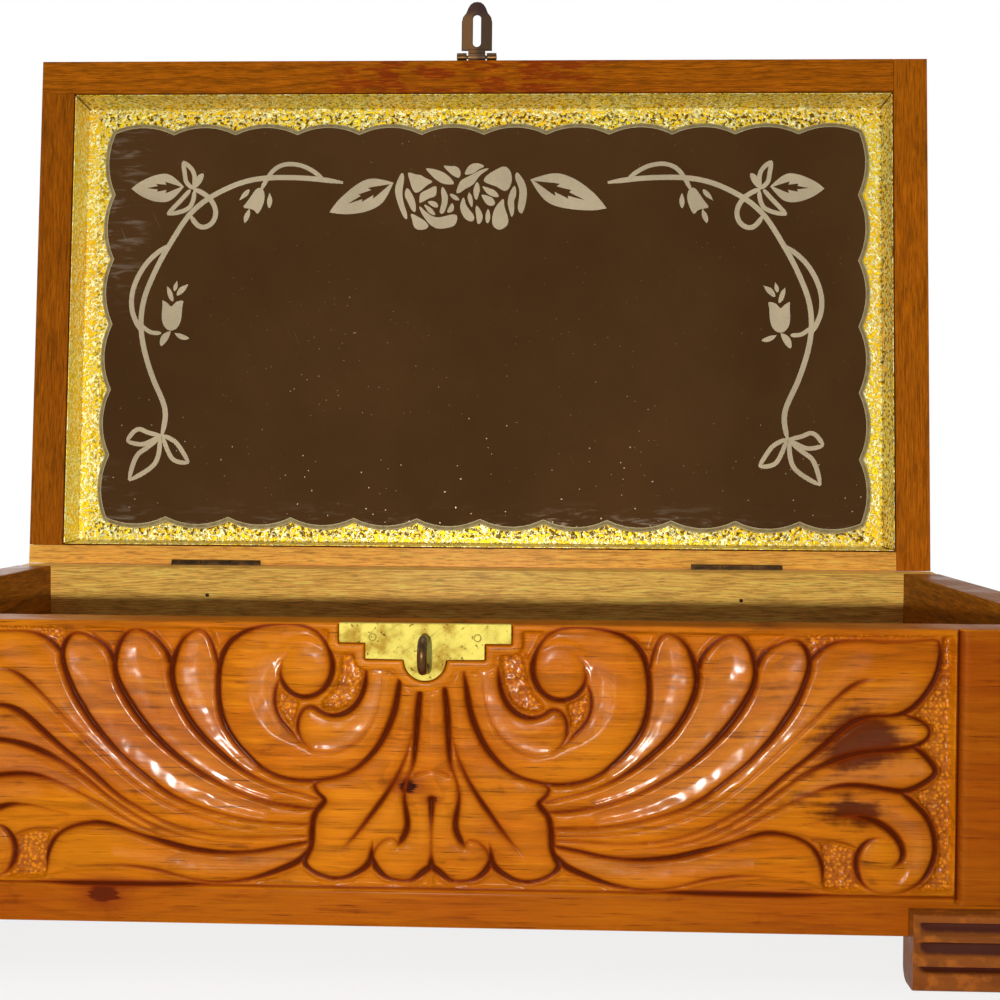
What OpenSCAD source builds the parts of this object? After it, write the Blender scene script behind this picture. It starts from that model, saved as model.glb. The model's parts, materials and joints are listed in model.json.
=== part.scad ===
// Vanity box of varnished wood with a carved front, reeded corner feet and a hinged lid.
// The lid holds a scalloped mirror in a foil-lined recess and is shown open, as it is used.
// X is to the right, Y towards the back, Z up; the feet stand on Z = 0.

/* [Box] */
// Width of the box over its boards
box_w = 305; // [290:1:340]
// Depth of the box over its boards
box_d = 174.5; // [160:0.5:200]
// Height of the four boards
board_h = 66.5; // [60:0.5:90]
// Thickness of the boards
wall_t = 11.8; // [11:0.1:14]
// Thickness of the bottom board
bottom_t = 6; // [5:0.5:8]
// How far the bottom board is let into each wall
bottom_rebate = 4; // [3:0.5:6]

/* [Feet] */
// Height of the reeded foot strips
foot_h = 16.5; // [15.5:0.1:20]
// How far the feet reach below the boards
foot_below = 10.1; // [8:0.1:13]
// How far the feet stand out from the boards
foot_proud = 4.8; // [3:0.1:7]
// How far the feet reach in under the boards
foot_under = 4.5; // [3.5:0.1:7]
// Length of a foot along the front or back
foot_len = 54; // [30:1:80]
// Length of a foot along the side
foot_side_len = 42; // [25:1:60]
// Depth of the grooves in a foot
foot_groove = 1.5; // [0.5:0.1:2]
// Upper edge of the first groove below the foot's top
groove_1_top = 1.7; // [1:0.1:2.5]
// Height of the first groove
groove_1_h = 2.8; // [1.5:0.1:3.2]
// Upper edge of the second groove below the foot's top
groove_2_top = 6; // [5.8:0.1:6.8]
// Height of the second groove
groove_2_h = 3.5; // [2:0.1:4]
// Upper edge of the third groove below the foot's top
groove_3_top = 11.1; // [11:0.1:12]
// Height of the third groove
groove_3_h = 1.8; // [1:0.1:2]
// Worn lower outer edge of a foot
foot_worn = 0.8; // [0.2:0.1:1]
// Radius of the rounded inner lower edge of a foot
foot_round = 2.5; // [0.5:0.1:3]

/* [Carved front] */
// Plain board left and right of the carved field
field_side = 39; // [30:0.5:60]
// Plain board below the carved field
field_below = 8.6; // [6:0.1:14]
// Plain board above the carved field
field_above = 1.4; // [1:0.1:4]
// Depth of the carved ground
ground_depth = 2.6; // [1:0.1:3.5]
// Depth of the leaves' tops below the board's face
leaf_depth = 0.4; // [0.1:0.1:0.8]

/* [Lid] */
// Angle from closed to fully open
lid_open = 94.6; // [85:0.2:105]
// Width of the front rail
lid_rail_w = 11.3; // [10:0.1:16]
// Width of the back rail
lid_back_rail_w = 6.3; // [5.5:0.1:12]
// Width of the side stiles
lid_stile_w = 11.3; // [10:0.1:16]
// Depth from the rim to the foil floor
recess_depth = 11; // [9:0.5:16]
// Thickness of the top panel
lid_panel_t = 9; // [7:0.5:14]
// Gap between the closed lid and the box rim
seat_gap = 0.15; // [0.05:0.05:0.5]

/* [Mirror and foil] */
// Foil floor left and right of the mirror's cusps
mirror_side = 9.7; // [6:0.1:16]
// Foil floor in front of and behind the mirror's cusps
mirror_ends = 9.2; // [6:0.1:16]
// Thickness of the mirror glass
mirror_t = 3; // [2:0.5:4]
// How far each scallop bulges
scallop_rise = 2.5; // [1:0.1:3]
// Scallops along the width
scallops_w = 12; // [6:1:16]
// Scallops along the height
scallops_h = 6; // [3:1:8]
// Mirror set to the right of the lid's middle
mirror_dx = 1.2; // [-2:0.1:2]
// Mirror set towards the hinges
mirror_dy = 1; // [-2:0.1:2]
// Thickness of the embossed foil card
foil_t = 0.8; // [0.5:0.1:1.5]
// How far the foil reaches in under the mirror
foil_lap = 5.3; // [3:0.1:8]
// Gap between foil and wood
foil_gap = 0.5; // [0.2:0.1:1]

/* [Lock plate and staple] */
// Both stand a little left of the middle
lock_x = -1.2; // [-4:0.1:4]
// Width over the plate's two tabs
plate_w = 37.5; // [34:0.5:44]
// Height of the tabs
plate_tab_h = 4.3; // [3:0.1:6]
// Width of the plate's body
plate_body_w = 26; // [22:0.5:30]
// Height of the plate's body
plate_body_h = 7.8; // [6.5:0.1:10]
// Radius of the round drop
plate_drop_r = 4.6; // [4:0.1:6]
// Height down to the end of the drop
plate_h = 12.5; // [11:0.1:16]
// Thickness of the plate
plate_t = 1.2; // [0.8:0.1:2]
// Plain wood kept around the plate
plate_border = 2.2; // [1:0.1:4]
// Radius of the staple's wire
staple_r = 1.05; // [0.8:0.05:1.2]
// Distance between the staple's legs
staple_pitch = 6.4; // [6.2:0.1:7.5]
// Straight part of the staple outside the plate
staple_straight = 4.3; // [3:0.1:5]
// Middle of the staple below the rim
staple_drop = 6.35; // [6:0.05:7]

/* [Hasp] */
// Width over the hasp's knuckle
hasp_w = 13.6; // [12:0.1:16]
// Width of the leaf
hasp_leaf_w = 10.5; // [9:0.1:12]
// Reach of the leaf from its pin
hasp_reach = 19.2; // [18:0.1:24]
// Thickness of the leaf and of the fixed plate
hasp_t = 1; // [0.8:0.1:1.2]
// Outer radius of the knuckle
hasp_knuckle_r = 1.45; // [1.3:0.05:1.8]
// Radius of the hasp's pin
hasp_pin_r = 0.6; // [0.5:0.05:0.8]
// Height of the pin above the closed lid's rim
hasp_axis_h = 1.4; // [1.3:0.05:2]
// Width of the slot
hasp_slot_w = 3.4; // [3.2:0.1:4]
// Distance from the pin to the slot's near end
hasp_slot_near = 2.9; // [2.6:0.1:3.2]
// Length of the slot
hasp_slot_len = 11.9; // [11:0.1:13]
// Height of the fixed plate on the lid
hasp_plate_h = 12; // [10:0.5:16]

/* [Hinges] */
// Distance from the box's end to a hinge's middle
hinge_inset = 64.5; // [45:0.5:90]
// Length of a hinge
hinge_len = 30; // [24:1:40]
// Height of a leaf from the pin
hinge_leaf_h = 13; // [12:0.5:16]
// Thickness of a leaf
hinge_leaf_t = 0.9; // [0.6:0.1:1.2]
// Outer radius of the knuckles
hinge_knuckle_r = 1.5; // [1.4:0.05:2]
// Radius of the hinge pins
hinge_pin_r = 0.75; // [0.6:0.05:0.9]

/* [Nails] */
// Radius of the joint nails
nail_r = 0.9; // [0.7:0.05:1.2]
// Length of the joint nails
nail_len = 30; // [20:1:36]
// Height of a nail's head
nail_head_h = 0.8; // [0.5:0.1:1.2]
// Distance of the corner nails from the boards' upper and lower edges
nail_inset = 14; // [10:0.5:20]
// Radius of the thin brads
brad_r = 0.6; // [0.4:0.05:0.8]
// How far a brad goes into the wall above the bottom
brad_grip = 8; // [5:0.5:12]
// How far a brad of the top panel goes into the lid's frame
panel_brad_grip = 5; // [3:0.5:8]
// Length of the two pins in the lock plate
plate_pin_len = 6; // [4:0.5:9]
// Radius of the hinge and hasp nails
tack_r = 0.6; // [0.5:0.05:0.8]
// Radius of a domed tack head
tack_head_r = 1.2; // [1:0.1:1.5]
// Height of a domed tack head
tack_head_h = 0.45; // [0.3:0.05:0.5]
// How far a hinge or hasp tack goes into the wood
tack_bite = 6; // [4:0.5:8]
// How far the middle hinge tacks come out inside the box
tack_tip = 0.8; // [0:0.1:1.5]
// Distance of a hinge leaf's outer tacks from the hinge pin
tack_row_1 = 4.5; // [4:0.1:6]
// Distance of a hinge leaf's middle tack from the hinge pin
tack_row_2 = 9.3; // [8:0.1:10.5]

/* [Clearances] */
// Radial clearance of a pin in a knuckle that turns
turn_fit = 0.05; // [0.02:0.01:0.1]
// Radial clearance of a pin or nail that sits fast
fast_fit = 0.02; // [0.01:0.01:0.05]
// Gap between the ends of knuckles
knuckle_gap = 0.2; // [0.1:0.05:0.4]
// Gap around knuckles and the let-in plate
let_in_gap = 0.2; // [0.1:0.05:0.4]

/* [Hidden] */
$fn = 48;

// Places of the box's main faces
lid_lean = lid_open - 90;
lid_frame_h = recess_depth + foil_t;
lid_t = seat_gap + lid_frame_h + lid_panel_t;
lid_reach = box_d * sin(lid_lean) + lid_t * cos(lid_lean);
back_reach = max(lid_reach, foot_proud);
staple_reach = staple_straight + staple_pitch / 2 + staple_r;
front_reach = max(staple_reach, foot_proud);
front_y = (front_reach - box_d - back_reach) / 2;
back_y = front_y + box_d;
rim_z = foot_below + board_h;
inner_w = box_w - 2 * wall_t;
inner_d = box_d - 2 * wall_t;

// Carved field on the front board
field_w = box_w - 2 * field_side;
field_h = board_h - field_below - field_above;
field_z = foot_below + field_below;

// Width of the field and its depth below the rim that the leaf outlines below are drawn for
drawn_w = 227;
drawn_h = 57.9;

// Recess of the lid, in the closed lid's frame, where the hinge axis is the origin
recess_w = box_w - 2 * lid_stile_w;
recess_d = box_d - lid_rail_w - lid_back_rail_w;
recess_y = -lid_back_rail_w - recess_d / 2;
floor_z = seat_gap + recess_depth;

// Foil and mirror in the recess
foil_w = recess_w - 2 * foil_gap;
foil_d = recess_d - 2 * foil_gap;
foil_floor_w = mirror_side + foil_lap;
mirror_w = foil_w - 2 * mirror_side;
mirror_h = foil_d - 2 * mirror_ends;

// Hinge
hinge_x = box_w / 2 - hinge_inset;
barrel_third = hinge_len / 3;
plate_start = hinge_knuckle_r + 0.1;
stop_b = plate_start * cos(lid_lean) - hinge_leaf_t * sin(lid_lean) - 0.02;
hinge_tacks = [[-hinge_len / 3, tack_row_1, tack_bite], [hinge_len / 3, tack_row_1, tack_bite],
    [0, tack_row_2, wall_t + tack_tip]];

// Hasp
hasp_off = hasp_knuckle_r + 0.05;
hasp_mid_w = hasp_w / 2 - knuckle_gap;
hasp_leaf_back = hasp_off - 0.35;
hasp_plate_start = hasp_knuckle_r + 0.3;
hasp_tack_z = hasp_axis_h + hasp_plate_start + (hasp_plate_h - hasp_plate_start) * 0.55;

// Leaves of the carving: points along each middle line as x, height and half width
volute = [[9.5, -8, 1.9], [10.5, -16.5, 2.8], [13.5, -24.5, 3.9], [19.5, -30.5, 4.5], [28.5, -31.7, 5.4],
    [37.5, -27.5, 6.9], [42.5, -18.5, 7.8], [42, -10, 6.5], [36.5, -5.5, 4.3], [30.5, -4.6, 2.6],
    [25.5, -7, 1.6]];
volute_eye = [28.2, -11.2, 5.6];
crescent = [[16.5, -19, 0.6], [19.5, -22.5, 1.9], [25, -23.5, 3.7], [29.3, -21.7, 2.8], [30.8, -18.8, 0.6]];
petal_1 = [[50.4, -2.5, 1], [52.5, -9.5, 4.7], [50.5, -17, 4.5], [43.5, -26.5, 3], [35, -32.7, 1.7],
    [27, -35.8, 0.9]];
petal_2 = [[65.9, -2.2, 1], [65, -9.5, 5.2], [61, -17, 5.2], [52.5, -25.7, 3.9], [40, -34.5, 2.8],
    [27, -38.7, 1.7]];
petal_3 = [[79, -2, 1], [76.5, -9.5, 5.2], [71, -18, 4.7], [61.5, -28, 3.9], [47.5, -36.5, 3.2],
    [27, -41.3, 1.7]];
big_leaf = [[109.5, -4, 1], [102, -8.5, 7], [92.5, -13.3, 8.4], [83, -19.5, 6.5], [72.5, -29.7, 3.9],
    [58.5, -38.2, 2.8], [41.5, -43.4, 1.9], [27, -44.1, 1.5]];
lobe_1 = [[106, -23.4, 0.8], [99, -22.9, 3.2], [90.5, -25.2, 2.8], [81, -31.1, 1.9], [69.5, -39.1, 1.5]];
lobe_2 = [[109, -31.6, 0.8], [102, -31, 3], [92.5, -31.6, 3.2], [83, -35, 2.6], [71.5, -40.6, 1.7],
    [56.5, -46.2, 1.3], [27, -47.2, 1.3]];
scroll = [[78, -40.5, 1.5], [90.5, -38.3, 3.9], [100.5, -40.5, 3.9], [106.3, -47.6, 3.4], [104, -54, 2.6],
    [98, -55.5, 1]];
scroll_eye = [97.8, -49.5, 4.6];
low_leaf = [[27.5, -48, 0.6], [37, -51.3, 2.2], [50, -52.2, 4.6], [65, -50.9, 5.4], [77, -50.7, 4.2],
    [83.5, -52.5, 1.2]];
fan_lobe = [[3.9, -14.6, 1.1], [5.7, -29.6, 1.7], [6.7, -40.5, 2.4], [6.2, -46.5, 4.8], [7.2, -52, 4.6],
    [8.9, -55.5, 1.5]];
fan_leaf = [[7.8, -12.5, 1], [9.8, -26.3, 2.6], [15.3, -37.1, 5.5], [20.5, -46.8, 6.6], [22.5, -52.5, 4.6],
    [21, -56, 1]];
fan_middle = [[0, -12.9, 2.6], [0, -25.3, 3.4], [0, -35, 4], [0, -39.5, 1]];
SIDE_LEAVES = [volute, crescent, petal_1, petal_2, petal_3, big_leaf, lobe_1, lobe_2, scroll, low_leaf,
    fan_lobe, fan_leaf];
EYES = [volute_eye, scroll_eye];

// Points of a smooth curve that starts and ends at the first and last of the points given
function smooth_line(p, n = 4) = let (last = len(p) - 1) concat(
    [for (i = [1 : last - 1], k = [0 : n - 1])
        let (t = k / n,
            a = i == 1 ? p[0] : (p[i - 1] + p[i]) / 2,
            c = i == last - 1 ? p[last] : (p[i] + p[i + 1]) / 2)
        a * (1 - t) * (1 - t) + p[i] * 2 * t * (1 - t) + c * t * t],
    [p[last]]);

// One side of a leaf: the curve moved sideways by its own half width
function leaf_side(c, s) = [for (i = [0 : len(c) - 1])
    let (d = c[min(i + 1, len(c) - 1)] - c[max(i - 1, 0)], l = norm([d[0], d[1]]))
    [c[i][0] - s * d[1] / l * c[i][2], c[i][1] + s * d[0] / l * c[i][2]]];

function reversed(p) = [for (i = [len(p) - 1 : -1 : 0]) p[i]];

function leaf_outline(p) = let (c = smooth_line(p)) concat(leaf_side(c, 1), reversed(leaf_side(c, -1)));

// Points of one scallop between two cusps, bulging to the left of the way it runs
function scallop(a, b, rise, n = 6) =
    let (c = norm(b - a), r = (c * c / 4 + rise * rise) / (2 * rise), half = asin(c / 2 / r), u = (b - a) / c)
    [for (k = [0 : n - 1])
        let (f = -half + 2 * half * k / n, along = c / 2 + r * sin(f), out = r * cos(f) - r * cos(half))
        a + u * along + [-u[1], u[0]] * out];

function scalloped_side(a, b, count) = let (step = (b - a) / count)
    [for (i = [0 : count - 1]) each scallop(a + step * i, a + step * (i + 1), scallop_rise)];

// A straight nail along +Z with its head's top at the origin
module nail(length, r, head_r, head_h, fit = 0) {
    translate([0, 0, -length]) cylinder(r = r + fit, h = length);
    translate([0, 0, -head_h]) cylinder(r = head_r + fit, h = head_h);
}

// A tack along +Z whose low domed head stands on the origin's plane
module tack(length, fit = 0) {
    translate([0, 0, -length]) cylinder(r = tack_r + fit, h = length + tack_head_h / 2);
    cylinder(r1 = tack_head_r, r2 = tack_head_r * 0.6, h = tack_head_h);
}

module tack_hole(length) translate([0, 0, -length]) cylinder(r = tack_r + fast_fit, h = length + 1);

// Draws its children in the open lid's place; they are modelled closed, with the hinge axis as origin
module lid_place() translate([0, back_y, rim_z]) rotate([-lid_open, 0, 0]) children();

// Nails through the front and back boards into the ends of the side boards
module at_box_nails() for (sx = [-1, 1], h = [nail_inset, board_h - nail_inset]) {
    translate([sx * (box_w - wall_t) / 2, front_y, foot_below + h]) rotate([90, 0, 0]) children();
    translate([sx * (box_w - wall_t) / 2, back_y, foot_below + h]) rotate([-90, 0, 0]) children();
}

// Brads up through the bottom board into the rebates
module at_bottom_brads() {
    for (sx = [-1, 0, 1], sy = [-1, 1])
        translate([sx * inner_w * 0.35, front_y + box_d / 2 + sy * (inner_d + bottom_rebate) / 2, foot_below])
            rotate([180, 0, 0]) children();
    for (sx = [-1, 1])
        translate([sx * (inner_w + bottom_rebate) / 2, front_y + box_d / 2, foot_below])
            rotate([180, 0, 0]) children();
}

module box_nail(fit = 0) nail(nail_len, nail_r, nail_r * 1.9, nail_head_h, fit);
module brad(fit = 0) translate([0, 0, -bottom_t - brad_grip])
    cylinder(r = brad_r + fit, h = bottom_t + brad_grip);

// The let-in bottom board's block
module bottom_block() translate([-inner_w / 2 - bottom_rebate, front_y + wall_t - bottom_rebate, foot_below])
    cube([inner_w + 2 * bottom_rebate, inner_d + 2 * bottom_rebate, bottom_t]);

// Outline of the lock plate, its top edge at zero, grown by a margin on all sides but the top
module plate_outline(grow = 0) {
    translate([-plate_w / 2 - grow, -plate_tab_h - grow]) square([plate_w + 2 * grow, plate_tab_h + grow]);
    translate([-plate_body_w / 2 - grow, -plate_body_h - grow])
        square([plate_body_w + 2 * grow, plate_body_h + grow]);
    translate([0, -plate_h + plate_drop_r]) circle(r = plate_drop_r + grow);
    translate([-plate_drop_r - grow, -plate_h + plate_drop_r])
        square([2 * (plate_drop_r + grow), plate_h - plate_drop_r]);
}

// Raises an outline drawn in X and Z towards the front, from a depth behind the front face
module on_front(depth, thick) translate([0, front_y + depth, 0]) rotate([90, 0, 0])
    linear_extrude(height = thick) children();

module leaf_2d(p) polygon(leaf_outline(p));

module side_leaves() {
    for (p = SIDE_LEAVES) leaf_2d(p);
    for (e = EYES) translate([e[0], e[1]]) circle(r = e[2]);
}

// The outlines' zero is the middle of the board's upper edge
module carving_2d() translate([0, rim_z]) scale([field_w / drawn_w, (field_h + field_above) / drawn_h]) {
    side_leaves();
    mirror([1, 0]) side_leaves();
    leaf_2d(fan_middle);
}

module carved_ground() difference() {
    on_front(ground_depth, ground_depth + 1)
        translate([-field_w / 2, field_z]) square([field_w, field_h]);
    on_front(ground_depth, ground_depth - leaf_depth) intersection() {
        carving_2d();
        translate([-field_w / 2, field_z]) square([field_w, field_h]);
    }
    on_front(ground_depth, ground_depth) translate([lock_x, rim_z]) plate_outline(plate_border);
}

// Holes for the staple's legs
module staple_legs(r) for (s = [-1, 1])
    translate([lock_x, front_y - 1, rim_z - staple_drop + s * staple_pitch / 2]) rotate([-90, 0, 0])
        cylinder(r = r, h = wall_t + 2);

// Places of the two small pins in the lock plate
module at_plate_pins() for (s = [-1, 1])
    translate([lock_x + s * (plate_body_w / 2 - 1.6), front_y, rim_z - plate_tab_h * 0.7]) rotate([90, 0, 0])
        children();

module plate_pin_hole() translate([0, 0, -plate_pin_len])
    cylinder(r = brad_r + fast_fit, h = plate_pin_len + 1);

module front_board() color("peru") difference() {
    translate([-box_w / 2, front_y, foot_below]) cube([box_w, wall_t, board_h]);
    bottom_block();
    carved_ground();
    on_front(plate_t, plate_t + 1) translate([lock_x, rim_z + 0.01]) plate_outline(let_in_gap / 2);
    staple_legs(staple_r + fast_fit);
    at_plate_pins() plate_pin_hole();
    at_box_nails() box_nail(fast_fit);
    at_bottom_brads() brad(fast_fit);
}

// Place of one tack of a hinge's leaf on the back board: across, below the pin, and its bite in the wood
module at_box_tack(side, t) translate([side * hinge_x + t[0], back_y + hinge_leaf_t, rim_z - t[1]])
    rotate([-90, 0, 0]) children();

// Room for the knuckles along the hinge axis, drawn about that axis
module knuckle_notch() for (s = [-1, 1]) translate([s * hinge_x - hinge_len / 2 - let_in_gap, 0, 0])
    rotate([0, 90, 0]) cylinder(r = hinge_knuckle_r + let_in_gap, h = hinge_len + 2 * let_in_gap);

module back_board() color("burlywood") difference() {
    translate([-box_w / 2, back_y - wall_t, foot_below]) cube([box_w, wall_t, board_h]);
    bottom_block();
    translate([0, back_y, rim_z]) knuckle_notch();
    for (s = [-1, 1], t = hinge_tacks) at_box_tack(s, t) tack_hole(hinge_leaf_t + t[2]);
    at_box_nails() box_nail(fast_fit);
    at_bottom_brads() brad(fast_fit);
}

module side_board(s) difference() {
    translate([s > 0 ? inner_w / 2 : -box_w / 2, front_y + wall_t, foot_below])
        cube([wall_t, inner_d, board_h]);
    bottom_block();
    at_box_nails() box_nail(fast_fit);
    at_bottom_brads() brad(fast_fit);
}
module left_board() color("peru") side_board(-1);
module right_board() color("peru") side_board(1);

module bottom_board() color("sienna") difference() {
    bottom_block();
    at_bottom_brads() brad(fast_fit);
}

module box_corner_nails() color("dimgray") at_box_nails() box_nail();
module bottom_brads() color("dimgray") at_bottom_brads() brad();

// Foot strip: section across the strip, from the board's face outwards and up from the floor
foot_grooves = [[foot_h - groove_1_top, groove_1_h], [foot_h - groove_2_top, groove_2_h],
    [foot_h - groove_3_top, groove_3_h]];
function foot_section() = concat(
    [[0, foot_h], [foot_proud, foot_h]],
    [for (g = foot_grooves) each [[foot_proud, g[0]], [foot_proud - foot_groove, g[0] - g[1] * 0.12],
        [foot_proud - foot_groove * 0.72, g[0] - g[1] * 0.5], [foot_proud, g[0] - g[1]]]],
    [[foot_proud, foot_worn], [foot_proud - foot_worn, 0]],
    [for (k = [0 : 5]) [-foot_under + foot_round * (1 - sin(18 * k)), foot_round * (1 - cos(18 * k))]],
    [[-foot_under, foot_below], [0, foot_below]]);

// One half of a corner foot: it runs from the corner, at the origin, towards -X and faces -Y
module foot_half(length) intersection() {
    translate([foot_proud, 0, 0]) rotate([90, 0, -90]) linear_extrude(height = length)
        polygon(foot_section());
    linear_extrude(height = foot_h)
        polygon([[foot_proud - length, -foot_proud], [foot_proud, -foot_proud], [-foot_under, foot_under],
            [foot_proud - length, foot_under]]);
}

module foot_corner(sx, sy) translate([sx * box_w / 2, sy < 0 ? front_y : back_y, 0])
    mirror([sx < 0 ? 1 : 0, 0, 0]) mirror([0, sy > 0 ? 1 : 0, 0]) children();
module foot_run(sx, sy) color("saddlebrown") foot_corner(sx, sy) foot_half(foot_len);
module foot_return(sx, sy) color("saddlebrown") foot_corner(sx, sy)
    mirror([1, 1, 0]) foot_half(foot_side_len);

module foot_front_left() foot_run(-1, -1);
module foot_front_left_return() foot_return(-1, -1);
module foot_front_right() foot_run(1, -1);
module foot_front_right_return() foot_return(1, -1);
module foot_back_left() foot_run(-1, 1);
module foot_back_left_return() foot_return(-1, 1);
module foot_back_right() foot_run(1, 1);
module foot_back_right_return() foot_return(1, 1);

module lock_plate() color("gold") difference() {
    on_front(plate_t, plate_t) translate([lock_x, rim_z]) plate_outline();
    staple_legs(staple_r + fast_fit);
    at_plate_pins() plate_pin_hole();
}

module lock_plate_pins() color("goldenrod") at_plate_pins() {
    translate([0, 0, -plate_pin_len]) cylinder(r = brad_r, h = plate_pin_len);
    cylinder(r1 = brad_r * 1.5, r2 = brad_r, h = brad_r * 0.4);
}

// Staple: a round wire loop whose legs go through plate and board and are bent over inside
module staple() color("saddlebrown") translate([lock_x, front_y, rim_z - staple_drop]) {
    leg_in = wall_t + staple_r + 0.05;
    translate([0, -staple_straight, 0]) rotate([0, 90, 0]) rotate([0, 0, 180])
        rotate_extrude(angle = 180) translate([staple_pitch / 2, 0]) circle(r = staple_r, $fn = 32);
    for (s = [-1, 1]) translate([0, 0, s * staple_pitch / 2]) {
        translate([0, -staple_straight, 0]) rotate([-90, 0, 0])
            cylinder(r = staple_r, h = staple_straight + leg_in, $fn = 32);
        translate([0, leg_in, 0]) sphere(r = staple_r, $fn = 32);
        translate([0, leg_in, 0]) rotate([0, s * 90, 0]) cylinder(r = staple_r, h = 6, $fn = 32);
    }
}

// Hinge knuckles along X about the origin, from one end to the other, with a bore for the pin
module knuckle(x0, x1, fit) translate([x0, 0, 0]) rotate([0, 90, 0]) difference() {
    cylinder(r = hinge_knuckle_r, h = x1 - x0);
    translate([0, 0, -1]) cylinder(r = hinge_pin_r + fit, h = x1 - x0 + 2);
}

// A web from a knuckle to its leaf, clear of the pin's bore
module web(x0, x1, z0, z1, y1) difference() {
    translate([x0, 0, z0]) cube([x1 - x0, y1, z1 - z0]);
    translate([x0 - 1, 0, 0]) rotate([0, 90, 0]) cylinder(r = hinge_knuckle_r - 0.2, h = x1 - x0 + 2);
}

module hinge_box_leaf(side) color("darkgoldenrod") translate([side * hinge_x, back_y, rim_z]) {
    inner = barrel_third / 2 + knuckle_gap / 2;
    ends = [[-hinge_len / 2, -inner], [inner, hinge_len / 2]];
    difference() {
        translate([-hinge_len / 2, 0, -hinge_leaf_h])
            cube([hinge_len, hinge_leaf_t, hinge_leaf_h - plate_start]);
        for (t = hinge_tacks) translate([t[0], 0, -t[1]]) rotate([-90, 0, 0])
            translate([0, 0, -1]) cylinder(r = tack_r + fast_fit, h = hinge_leaf_t + 2);
    }
    for (e = ends) {
        knuckle(e[0], e[1], fast_fit);
        web(e[0], e[1], -plate_start, 0, hinge_leaf_t);
    }
}

module hinge_lid_leaf(side) color("darkgoldenrod") lid_place() translate([side * hinge_x, 0, 0]) {
    a = -barrel_third / 2 + knuckle_gap / 2;
    b = barrel_third / 2 - knuckle_gap / 2;
    difference() {
        translate([-hinge_len / 2, 0, plate_start])
            cube([hinge_len, hinge_leaf_t, hinge_leaf_h - plate_start]);
        for (t = hinge_tacks) translate([t[0], 0, t[1]]) rotate([-90, 0, 0])
            translate([0, 0, -1]) cylinder(r = tack_r + fast_fit, h = hinge_leaf_t + 2);
    }
    knuckle(a, b, turn_fit);
    web(a, b, 0, plate_start + 0.3, stop_b);
}

module hinge_pin(side) color("darkgoldenrod")
    translate([side * hinge_x - hinge_len / 2 - 0.1, back_y, rim_z]) rotate([0, 90, 0])
        cylinder(r = hinge_pin_r, h = hinge_len + 0.2);

module hinge_left_box_leaf() hinge_box_leaf(-1);
module hinge_right_box_leaf() hinge_box_leaf(1);
module hinge_left_lid_leaf() hinge_lid_leaf(-1);
module hinge_right_lid_leaf() hinge_lid_leaf(1);
module hinge_left_pin() hinge_pin(-1);
module hinge_right_pin() hinge_pin(1);

// The middle tack of each leaf goes right through the board and shows inside the box
module hinge_box_tacks() color("goldenrod") for (s = [-1, 1], t = hinge_tacks)
    at_box_tack(s, t) tack(hinge_leaf_t + t[2]);

// Places of the tacks in the lid's back rail
module at_lid_tacks() for (s = [-1, 1], t = hinge_tacks)
    translate([s * hinge_x + t[0], hinge_leaf_t, t[1]]) rotate([-90, 0, 0]) children();
lid_tack = hinge_leaf_t + lid_back_rail_w - 0.8;
module hinge_lid_tacks() color("goldenrod") lid_place() at_lid_tacks() tack(lid_tack);

// Nails of the lid frame: through the rails on the left, through the stile on the right
module at_lid_nails() {
    z = seat_gap + lid_frame_h / 2;
    translate([-(box_w - lid_stile_w) / 2, -box_d, z]) rotate([90, 0, 0]) children();
    translate([-(box_w - lid_stile_w) / 2, 0, z]) rotate([-90, 0, 0]) children();
    translate([box_w / 2, -box_d + lid_rail_w / 2, z]) rotate([0, 90, 0]) children();
    translate([box_w / 2, -lid_back_rail_w / 2, z]) rotate([0, 90, 0]) children();
}

// Brads through the top panel into rails and stiles
module at_panel_brads() {
    for (x = [-0.4, -0.14, 0.14, 0.4]) {
        translate([x * box_w, -box_d + lid_rail_w / 2, lid_t]) children();
        translate([x * box_w, -lid_back_rail_w / 2, lid_t]) children();
    }
    for (s = [-1, 1]) translate([s * (box_w - lid_stile_w) / 2, -box_d / 2, lid_t]) children();
}
module panel_brad(fit = 0) translate([0, 0, -lid_panel_t - panel_brad_grip])
    cylinder(r = brad_r + fit, h = lid_panel_t + panel_brad_grip);

// The hasp's place on the lid's front face, with its pin's axis as origin
module hasp_place() translate([lock_x, -box_d - hasp_off, seat_gap + hasp_axis_h]) children();
module at_hasp_tacks() for (s = [-1, 1])
    translate([lock_x + s * hasp_w * 0.27, -box_d - hasp_t, seat_gap + hasp_tack_z])
        rotate([90, 0, 0]) children();
hasp_tack = hasp_t + tack_bite;

// A frame piece of the lid, from its lower corner, with all nails, brads and tacks cut out
module lid_bar(x0, x1, y0, y1) difference() {
    translate([x0, y0, seat_gap]) cube([x1 - x0, y1 - y0, lid_frame_h]);
    knuckle_notch();
    at_lid_nails() box_nail(fast_fit);
    at_panel_brads() panel_brad(fast_fit);
    at_lid_tacks() tack_hole(lid_tack);
    at_hasp_tacks() tack_hole(hasp_tack);
}

module lid_front_rail() color("sienna") lid_place()
    lid_bar(-box_w / 2, box_w / 2 - lid_stile_w, -box_d, -box_d + lid_rail_w);
module lid_back_rail() color("burlywood") lid_place()
    lid_bar(-box_w / 2, box_w / 2 - lid_stile_w, -lid_back_rail_w, 0);
module lid_left_stile() color("saddlebrown") lid_place()
    lid_bar(-box_w / 2, -box_w / 2 + lid_stile_w, -box_d + lid_rail_w, -lid_back_rail_w);
module lid_right_stile() color("peru") lid_place()
    lid_bar(box_w / 2 - lid_stile_w, box_w / 2, -box_d, 0);

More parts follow.
